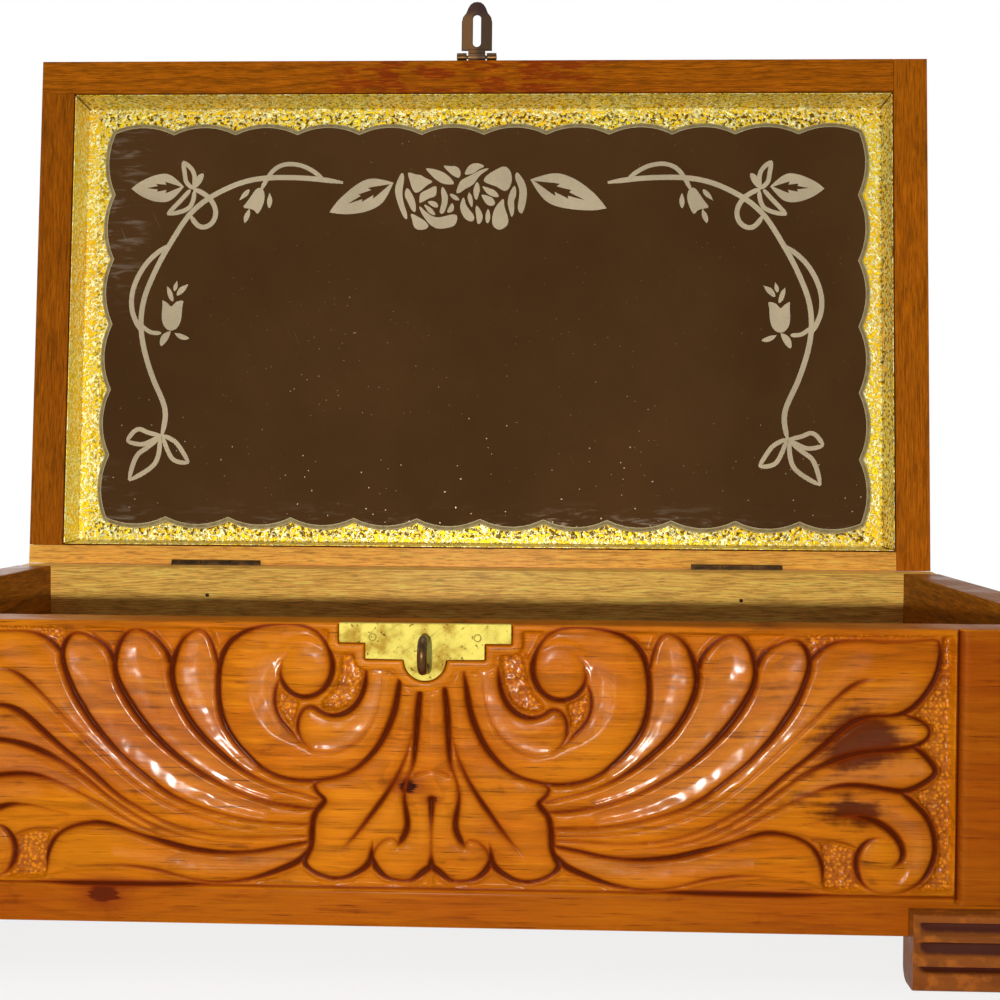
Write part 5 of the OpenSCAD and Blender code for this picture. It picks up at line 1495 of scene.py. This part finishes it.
class VANITY_OT_lock(Operator):
    """Builds the stepped lock plate, its pins and the staple"""

    bl_idname = "vanity.lock"
    bl_label = "Lock plate and staple"

    def execute(self, context):
        metal = settings().metal
        brass, bronze = brass_material(metal.brass), bronze_material(metal.bronze)
        begin = math.asin(min(0.0, (PLATE_TALL - DROP - BODY_TALL) / DROP))
        arc = np.linspace(begin, -math.pi - begin, 17)
        drop = np.column_stack([DROP * np.cos(arc), -PLATE_TALL + DROP + DROP * np.sin(arc)])
        right = np.array([(PLATE_HALF, 0), (PLATE_HALF, -TAB_TALL), (BODY_HALF, -TAB_TALL),
                          (BODY_HALF, -BODY_TALL)])
        outline = eased(around(np.concatenate([right, drop, right[::-1] * [-1, 1]]) * MM), 0.3 * MM)
        levels = [(0.0, PLATE_HIGH[1]), (0.0, FRONT_Y + 0.18 * MM), (0.03, FRONT_Y + 0.06 * MM),
                  (0.12, FRONT_Y)]
        rings = []
        for shrink, level in levels:
            p = inset(outline, shrink * MM)
            rings.append(np.column_stack([p[:, 0] + PLATE_X * MM, np.full(len(p), level), p[:, 1] + RIM_Z]))
        add_piece("lock_plate_stepped", loft(np.array(rings)), [brass], "box", ["lock_plate"],
                  sharp=20, flat=True)
        dress("lock_plate_pins", brass)
        add_piece("staple_wire", tube(staple_path(), STAPLE_WIRE * 0.995), [bronze], "box",
                  ["staple"], sharp=60)
        return {"FINISHED"}


class VANITY_OT_lid_frame(Operator):
    """Builds the lid's rails, stiles and top panel"""

    bl_idname = "vanity.lid_frame"
    bl_label = "Lid frame"

    def execute(self, context):
        wood = settings().wood
        ease = wood.edge
        along_x, along_y = (X, LID_Y, LID_Z), (LID_Y, X, LID_Z)
        rail = wood_material("lid_front_rail_wood", wood.lid, along_x, (-150, 40), 2.6, 0.34, 0.8, 0.75)
        left = wood_material("lid_stile_wood", tone(wood.lid, 0.8), along_y, (60, 40), 1.1, 0.34, 0.45)
        right = wood_material("lid_right_stile_wood", wood.lid, along_y, (90, 60), 1.1, 0.34, 0.4)
        pale = tone(wood.pale, 0.98, 0.84, 0.72)
        pale = wood_material("lid_back_rail_wood", pale, along_x, (40, 80), 1.4, 0.4, 0.3)
        panel = wood_material("lid_panel_wood", tone(wood.lid, 1.05), along_x, (-90, 70), 3.2)
        butt = 2 * HAIR
        for node, along, material, edge in (
                ("lid_front_rail", 0, rail, butt), ("lid_left_stile", 1, left, butt),
                ("lid_right_stile", 1, right, butt), ("lid_panel", 0, panel, max(ease, butt))):
            low, high = lid_corners(node)
            skin = loft(open_lid(plain_bar(low + HAIR, high - HAIR, along, edge)))
            add_piece(node + "_eased", skin, [material], "lid", [node], flat=True)
        low, high = lid_corners("lid_back_rail")
        low, high = low + HAIR, high - HAIR
        small, rubbed = 0.2 * MM, 1.3 * MM
        body = eased(rectangle(low, high, 1, 2, 2)[:3], small)
        whole = rectangle(low, high, 1, 2, 1)
        plain = np.concatenate([body, eased(whole, small, 7)[:8]])
        lean = math.degrees(math.asin(low[2] / KNUCKLE_ROOM))
        notch = np.concatenate([body, knuckle_arc(180 - lean, 90, (0.0, 0.0))])
        cut = eased(whole, [rubbed, small, small, small], 7)
        rings = notched_bar(low[0], high[0], plain, notch, np.concatenate([body, cut[:8]]))
        add_piece("lid_back_rail_eased", loft(open_lid(rings)), [pale], "lid",
                  ["lid_back_rail"], flat=True)
        return {"FINISHED"}


class VANITY_OT_foil(Operator):
    """Builds the embossed foil strips around the mirror and the card behind it"""

    bl_idname = "vanity.foil"
    bl_label = "Embossed foil"

    def execute(self, context):
        material = foil_material(settings().metal.foil)
        nodes = [f"foil_{side}" for side in ("front", "right", "back", "left")]
        lows, highs = zip(*(lid_corners(node) for node in nodes))
        low, high = np.min(lows, 0), np.max(highs, 0)
        for k, node in enumerate(nodes):
            skin, layers = foil_strip(low, high, k)
            add_piece(f"embossed_{node}", skin, [material], "lid", [node], sharp=80,
                      layers=layers)
        dress("mirror_backing", card_material())
        return {"FINISHED"}


# Distance between the points of the foil, width of its floor, how far its upright stands off the recess
# and leans, how far its floor lies above the recess's, and how high the emboss rises
FOIL_CELL, FOIL_FLOOR, FOIL_GAP, FOIL_LEAN = 0.45 * MM, 14.6 * MM, 0.35 * MM, 1.5 * MM
FOIL_SEAT, FOIL_EMBOSS = 0.8 * MM, 0.18 * MM
# For the strips at the lid's front, right, back and left: how deep the emboss is on the floor and on the
# upright, how much shade is painted on the upright, and the width of the smooth band on the floor in mm
FOIL_LOOKS = ((1.0, 0.7, 0.7, 0.3), (0.15, 1.0, 0.35, 3.4), (1.0, 0.6, 0.7, 0.3), (0.6, 0.2, 0.0, 2.6))


def foil_strip(low, high, turn):
    """One mitred strip of foil. Its sheet runs down the upright, round a small bend and over the floor to
    under the mirror; its ends are cut at 45 degrees, so a row further in is shorter by twice its distance.
    Smooth noise lifts it, more where the emboss is deep. Returns the skin and its layers deep and dark,
    which tell the emboss's depth and the painted shade."""
    centre, size = (low[:2] + high[:2]) / 2, high[:2] - low[:2]
    length, depth = size if turn % 2 == 0 else size[::-1]
    top, floor = low[2], high[2]
    tall = floor - top
    s = np.concatenate([np.arange(0, tall, FOIL_CELL), tall + np.arange(0, FOIL_FLOOR, FOIL_CELL)])
    inward = FOIL_GAP + np.where(s < tall, FOIL_LEAN * (s / tall) ** 2, FOIL_LEAN + (s - tall))
    level = np.where(s < tall, top + s, floor - FOIL_SEAT)
    u = np.linspace(-1, 1, int(length / FOIL_CELL))
    along = u[None, :] * (length / 2 - inward[:, None])
    a, b = along / MM, np.broadcast_to(s[:, None] / MM, along.shape) + 37.0 * turn
    on_floor, upright, upright_shade, smooth = FOIL_LOOKS[turn]
    floor_part = (s > tall)[:, None]
    out = ((s - tall) / MM)[:, None]
    deep = np.where(floor_part, on_floor * np.clip((out - smooth) / 1.5, 0.06, 1), upright) + 0 * along
    # dark is painted shade: a dark line on the floor along the bend, and on the upright, less on its ribs.
    dark = np.where(floor_part, 0.9 * bounded(1 - out / 0.7) * (upright_shade > 0), upright_shade) + 0 * along
    ribs = bounded(lattice_noise(a, 0 * b, 1.5, 70 + turn) * 2 - 0.6)
    dark = dark * np.where(floor_part, 1, 1 - 0.8 * ribs)
    relief = lattice_noise(a, b, 1.0, 40 + turn) * 0.6 + lattice_noise(a, b, 3.0, 50 + turn) * 0.4
    edge = bounded(np.minimum(s, np.abs(s - tall)) / (1.2 * MM))[:, None]
    lift = relief * edge * (0.25 + 0.75 * deep) * FOIL_EMBOSS
    local = np.stack([along, -depth / 2 + inward[:, None] + np.where(floor_part, 0, lift - 0.16 * MM),
                      level[:, None] - np.where(floor_part, lift, 0)], -1)
    behind = local.copy()
    behind[..., 1] -= np.where(floor_part, 0, 0.25 * MM)
    behind[..., 2] += np.where(floor_part, 0.6 * MM, 0)
    cos, sin = (1, 0, -1, 0)[turn], (0, 1, 0, -1)[turn]

    def in_lid(p):
        x = centre[0] + cos * p[..., 0] - sin * p[..., 1]
        y = centre[1] + sin * p[..., 0] + cos * p[..., 1]
        return open_lid(np.stack([x, y, p[..., 2]], -1))

    rings = np.concatenate([in_lid(local), in_lid(behind)[::-1]], 0)
    layers = {name: np.concatenate([layer, layer[::-1]]).T for name, layer in (("deep", deep), ("dark", dark))}
    return loft(np.swapaxes(rings, 0, 1)), layers


class VANITY_OT_mirror(Operator):
    """Builds the scalloped mirror with its ground edge and the etched rose vine"""

    bl_idname = "vanity.mirror"
    bl_label = "Etched mirror"

    def execute(self, context):
        look = settings().mirror
        low, high = lid_corners("mirror")
        low, high = low + [SCALLOP_RISE, SCALLOP_RISE, 0], high - [SCALLOP_RISE, SCALLOP_RISE, 0]
        outline = scalloped_outline(low, high, SCALLOPS, SCALLOP_RISE - 0.02 * MM)
        strip = look.ground_edge
        rings = [(0.0, high[2]), (0.0, low[2] + 0.55 * MM), (0.15 * MM, low[2] + 0.35 * MM),
                 (0.4 * MM, low[2] + 0.3 * MM), (strip - 0.35 * MM, low[2] + 0.06 * MM), (strip, low[2])]
        # rim: where pale lines are painted as highlights along the ground edge's arrises.
        rim = np.repeat([0.2, 1.0, 0.6, 0.0, 0.0, 1.0], len(outline))
        skin = loft(open_lid([at_level(inset(outline, move), level) for move, level in rings]))
        second = [1] * ((len(rings) - 1) * len(outline)) + [0, 0]
        add_piece("scalloped_mirror", skin, [glass_material(look.tint), ground_glass_material()], "lid",
                  ["mirror"], sharp=8, second=second, layers={"rim": rim})
        parts = etched_parts(low, high, low[2])
        add_piece("etched_rose_vine", joined(parts), [etched_material(look.etching)], "lid")
        return {"FINISHED"}


# Hasp leaf in mm: distance from its pin and half width there; distance of its tip; its slot's two ends and
# half width; its barrel's hole, radius and half length; and the two ends of its neck
LEAF_SHAPE = [(2.1, 5.25), (12.1, 5.25), (13.8, 4.84), (15.2, 3.75), (16.3, 3.3), (16.9, 3.1), (18.2, 2.3),
              (19.0, 1.2)]
LEAF_TIP = 19.18
LEAF_SLOT = (4.7, 13.3, 1.4)
LEAF_BARREL = (0.66, 1.44, 2.95)
LEAF_NECK = (-1.1, -2.5)


def ring_skin(rings):
    """A closed skin like a ring: sections round a loop, the last joined to the first, with the faces
    outwards."""
    count, size = rings.shape[:2]
    points = rings.reshape(-1, 3)
    faces = quads(count + 1, size) % (count * size)
    if signed_volume(points, faces) < 0:
        faces = faces[:, ::-1]
    return points, faces.tolist()


def ray_reach(places, ways, outline):
    """How far rays in the plane run from places inside a closed outline until they meet it: the least reach
    ahead whose share of a side lies between the side's ends."""
    run = np.roll(outline, -1, 0) - outline
    rel = outline[None] - places[:, None]
    cross = crossed(ways[:, None], run[None])
    cross = np.where(np.abs(cross) < 1e-9, 1e-9, cross)
    reach, share = crossed(rel, run[None]) / cross, crossed(rel, ways[:, None]) / cross
    return np.where((share > -1e-6) & (share < 1 + 1e-6) & (reach > 0), reach, np.inf).min(1)


def hasp_leaf():
    """The slotted leaf as a ring of sections around its slot. Rays leave the slot's edge square to it and
    end where they meet the outline; one ray goes through each corner. A short neck and a barrel join it to
    the pin. Returns the skin and a layer that is 1 on the plate's edges."""
    pin = closed_lid(HASP_AXIS)
    far = (lid_points("hasp_leaf") - pin) / MM
    plate = far[-far[:, 1] > 5]
    low, high = plate[:, 2].min() + 0.01, plate[:, 2].max() - 0.01
    right = np.array(LEAF_SHAPE)[:, ::-1]
    outline = np.concatenate([right, [(0.0, LEAF_TIP)], right[::-1] * [-1, 1]])
    near, end, slot = LEAF_SLOT
    turns, runs = np.arange(0, 180, 6.0), np.linspace(near, end, 8)
    shoulder = math.degrees(math.atan2(near - LEAF_SHAPE[0][0], LEAF_SHAPE[0][1]))
    bottom = np.sort(np.append(turns + 180, [360 - shoulder, 180 + shoulder]))
    corner = np.degrees(np.arctan2(outline[:, 1] - end, outline[:, 0]))
    top = np.sort(np.append(turns, corner[corner > 0]))
    up = np.concatenate([0 * bottom + near, runs, 0 * top + end, runs[::-1]])
    places = np.column_stack([0 * up, up])
    angle = np.radians(np.concatenate([bottom, 0 * runs, top, 0 * runs + 180]))
    way = np.column_stack([np.cos(angle), np.sin(angle)])
    reach = ray_reach(places, way, outline)
    bevel, face = 0.14, 0.5
    upper = [(slot, high - bevel, 1), (slot + bevel, high, 1), (slot + face, high, 0),
             (reach - face, high, 0), (reach - bevel, high, 1), (reach, high - bevel, 1)]
    lower = [(reach, low + bevel, 1), (reach - bevel, low, 1), (reach - face, low, 0),
             (slot + face, low, 0), (slot + bevel, low, 1), (slot, low + bevel, 1)]
    rings, edges = [], []
    for radius, level, edge in upper + lower:
        spot = places + way * np.broadcast_to(radius, len(way))[:, None]
        rings.append(at_level(spot * [1, -1], level))
        edges.append(np.full(len(spot), float(edge)))
    leaf = ring_skin(np.stack(rings, 1))
    hole, radius, half = LEAF_BARREL
    angle = np.radians(np.arange(0, 360, 12))[:, None]
    r, x = np.array([hole, radius, radius, hole]), np.array([-half, -half, half, half])
    barrel = ring_skin(np.stack([0 * angle + x, r * np.cos(angle), r * np.sin(angle)], -1))
    section = rectangle((-half, low), (half, high))
    neck = loft(bar(LEAF_NECK, np.stack([section, section]), (1, 0, 2)))
    points, faces = joined([leaf, barrel, neck])
    edge = np.concatenate([np.stack(edges, 1).ravel(), np.zeros(len(barrel[0]) + len(neck[0]))])
    return (open_lid(pin + points * MM), faces), edge


def leaf_material(colour):
    """Bronze patina of the leaf: yellowish on the left, brown on the right, dark on the edges and at the
    tip."""
    shader = Shader("leaf_bronze")
    place = shader.place()
    x, up = shader.dot(place, X) * PER_M - float(HASP_AXIS[0] / MM), shader.dot(place, Z) * PER_M
    blotch = shader.noise(place, 320.0, 4.0, 0.65)
    metal = shader.mix(shader.step(x + blotch * 2.0, 0.0, 2.4), tone(colour, 2.1), tone(colour, 0.7))
    tip = float(HASP_AXIS[2] / MM)
    metal = shader.over(metal, (up, tip + 13.0, tip + 16.5, 0.85, srgb(48, 20, 24)),
                        (shader.layer("edge") + blotch * 0.5, 0.6, 1.2, 0.85, srgb(34, 16, 8)))
    return shader.finish(Base_Color=metal, Metallic=0.5, Roughness=shader.spread(blotch, 0.34, 0.55),
                         Normal=shader.bump(blotch, 0.1 * MM, 0.7))


class VANITY_OT_hasp(Operator):
    """Builds the hasp's slotted leaf and dresses its plate, pin and tacks"""

    bl_idname = "vanity.hasp"
    bl_label = "Hasp"

    def execute(self, context):
        bronze = bpy.data.materials["dark_bronze"]
        skin, edge = hasp_leaf()
        add_piece("hasp_leaf_slotted", skin, [leaf_material(settings().metal.bronze)], "hasp",
                  ["hasp_leaf"], sharp=30, layers={"edge": edge})
        for node in ("hasp_plate", "hasp_pin", "hasp_tacks"):
            dress(node, bronze)
        return {"FINISHED"}


class VANITY_OT_fittings(Operator):
    """Gives the hinges, tacks, nails and brads their metal"""

    bl_idname = "vanity.fittings"
    bl_label = "Hinges and nails"

    def execute(self, context):
        bronze, steel = bpy.data.materials["dark_bronze"], steel_material()
        for side in ("left", "right"):
            for part in ("box_leaf", "lid_leaf", "pin"):
                dress(f"hinge_{side}_{part}", bronze)
        for node in ("hinge_box_tacks", "hinge_lid_tacks"):
            dress(node, bronze)
        for node in ("box_corner_nails", "bottom_brads", "lid_corner_nails", "lid_panel_brads"):
            dress(node, steel)
        return {"FINISHED"}


def turned_object(name, data, right, up, back, place):
    """Puts data into the scene as an object that is turned to three directions and moved to a place."""
    turn = np.eye(4)
    turn[:3] = np.column_stack([right, up, back, place])
    holder = bpy.data.objects.new(name, data)
    holder.matrix_world = Matrix(turn.tolist())
    bpy.context.scene.collection.objects.link(holder)
    return holder


def lamp(name, place, target, size, power, cone=None):
    """A round soft lamp that shines from its place towards a target, or a spot light of so many degrees."""
    light = bpy.data.lights.new(name, "SPOT" if cone else "AREA")
    light.energy = power
    if cone:
        light.spot_size, light.spot_blend, light.shadow_soft_size = math.radians(cone), 0.2, size / 2
        light.color = (1.0, 0.97, 0.9)
    else:
        light.shape, light.size = "DISK", size
    away = unit(np.array(place) - target)
    side = unit(np.cross([0, 0, 1.0], away))
    turned_object(name, light, side, np.cross(away, side), away, place)


# Lamps: name, place, target, size in metres, power as a share of the key setting, and a spot light's cone
LAMPS = (("key_light", (-0.023, -0.42, 0.098), (0.01, 0, 0.1), 0.007, 4.0, 76),
         ("top_light", (0.1, 0.1, 1.1), (0, 0.01, 0.08), 0.7, 1.8),
         ("back_light", (-0.3, 1.0, 0.6), (0, 0, 0.1), 0.8, 3.5),
         ("left_light", (-1.1, 0.15, 0.5), (0, 0, 0.1), 0.6, 1.5),
         ("right_light", (1.1, 0.15, 0.5), (0, 0, 0.1), 0.6, 1.5))


class VANITY_OT_stage(Operator):
    """Builds the camera, the pale floor and the soft light"""

    bl_idname = "vanity.stage"
    bl_label = "Stage"

    def execute(self, context):
        scene, look = context.scene, settings().stage
        scene.view_settings.view_transform = "Standard"
        right, up, ahead = camera_axes()
        data = bpy.data.cameras.new("camera")
        data.lens, data.sensor_width, data.clip_start = CAMERA_LENS, CAMERA_SENSOR, 0.01
        scene.camera = turned_object("camera", data, right, up, -ahead, CAMERA_AT)
        for name, place, target, size, share, *cone in LAMPS:
            lamp(name, place, target, size, look.key * share, *cone)

        x, y = np.meshgrid(np.linspace(-3, 3, 13), np.linspace(-3, 3, 13), indexing="ij")
        floor_points = np.stack([x, y, 0 * x - HAIR], -1).reshape(-1, 3)
        floor_mesh = bpy.data.meshes.new("floor")
        floor_mesh.from_pydata(floor_points, [], quads(13, 13, False).tolist())
        floor = bpy.data.objects.new("floor", floor_mesh)
        floor.data.materials.append(floor_material())
        scene.collection.objects.link(floor)

        shader = Shader("studio", world=True)
        strength = shader.seen() * (1.0 - look.sky) + look.sky
        sky = shader.add("ShaderNodeBackground", None, {"Color": (1.0, 1.0, 1.0), "Strength": strength})
        scene.world = shader.ended(sky, "World")
        return {"FINISHED"}


def floor_material():
    """Pale floor: matt white paper that keeps the box's shadow. What looks straight at it sees it mixed
    with plain white, and further out only white, so that it ends nowhere."""
    shader = Shader("pale_floor")
    place = shader.place()
    tooth = shader.noise(place, 900.0, 3.0)
    paper = shader.mix(tooth, (0.76, 0.76, 0.75), (0.82, 0.82, 0.81))
    matt = shader.surface(Base_Color=paper, Roughness=0.9, Specular_IOR_Level=0.1,
                          Normal=shader.bump(tooth, 0.05 * MM, 0.2))
    white = shader.add("ShaderNodeEmission", None, {"Color": (1.0, 1.0, 1.0), "Strength": 1.0})
    far = (shader.dot(place, X) ** 2.0 + shader.dot(place, Y) ** 2.0) ** 0.5
    share = shader.seen() * shader.step(far, 0.2, 0.6, 0.8, 1.0)
    return shader.ended(shader.add("ShaderNodeMixShader", None, {0: share, 1: matt, 2: white}))


STEPS = (VANITY_OT_stage, VANITY_OT_carved_front, VANITY_OT_box_boards, VANITY_OT_feet, VANITY_OT_lock,
         VANITY_OT_lid_frame, VANITY_OT_foil, VANITY_OT_mirror, VANITY_OT_hasp, VANITY_OT_fittings)


class VANITY_PT_panel(Panel):
    """Lists the box's steps and settings in the sidebar"""

    bl_idname = "VANITY_PT_panel"
    bl_label = "Vanity box"
    bl_space_type = "VIEW_3D"
    bl_region_type = "UI"
    bl_category = "Vanity box"

    def draw(self, context):
        for step in STEPS:
            self.layout.operator(step.bl_idname)
        for name in BoxSettings.__annotations__:
            column, group = self.layout.column(heading=name), getattr(settings(), name)
            for key in type(group).__annotations__:
                column.prop(group, key)


GROUPS = (WoodSettings, CarvingSettings, MirrorSettings, MetalSettings, StageSettings, BoxSettings)


def register():
    for kind in (*GROUPS, *STEPS, VANITY_PT_panel):
        bpy.utils.register_class(kind)
    bpy.types.Scene.vanity_box = PointerProperty(type=BoxSettings)


def unregister():
    del bpy.types.Scene.vanity_box
    for kind in reversed((*GROUPS, *STEPS, VANITY_PT_panel)):
        bpy.utils.unregister_class(kind)


def main():
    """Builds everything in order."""
    register()
    for step in STEPS:
        group, name = step.bl_idname.split(".")
        getattr(getattr(bpy.ops, group), name)()


if __name__ == "__main__":
    main()
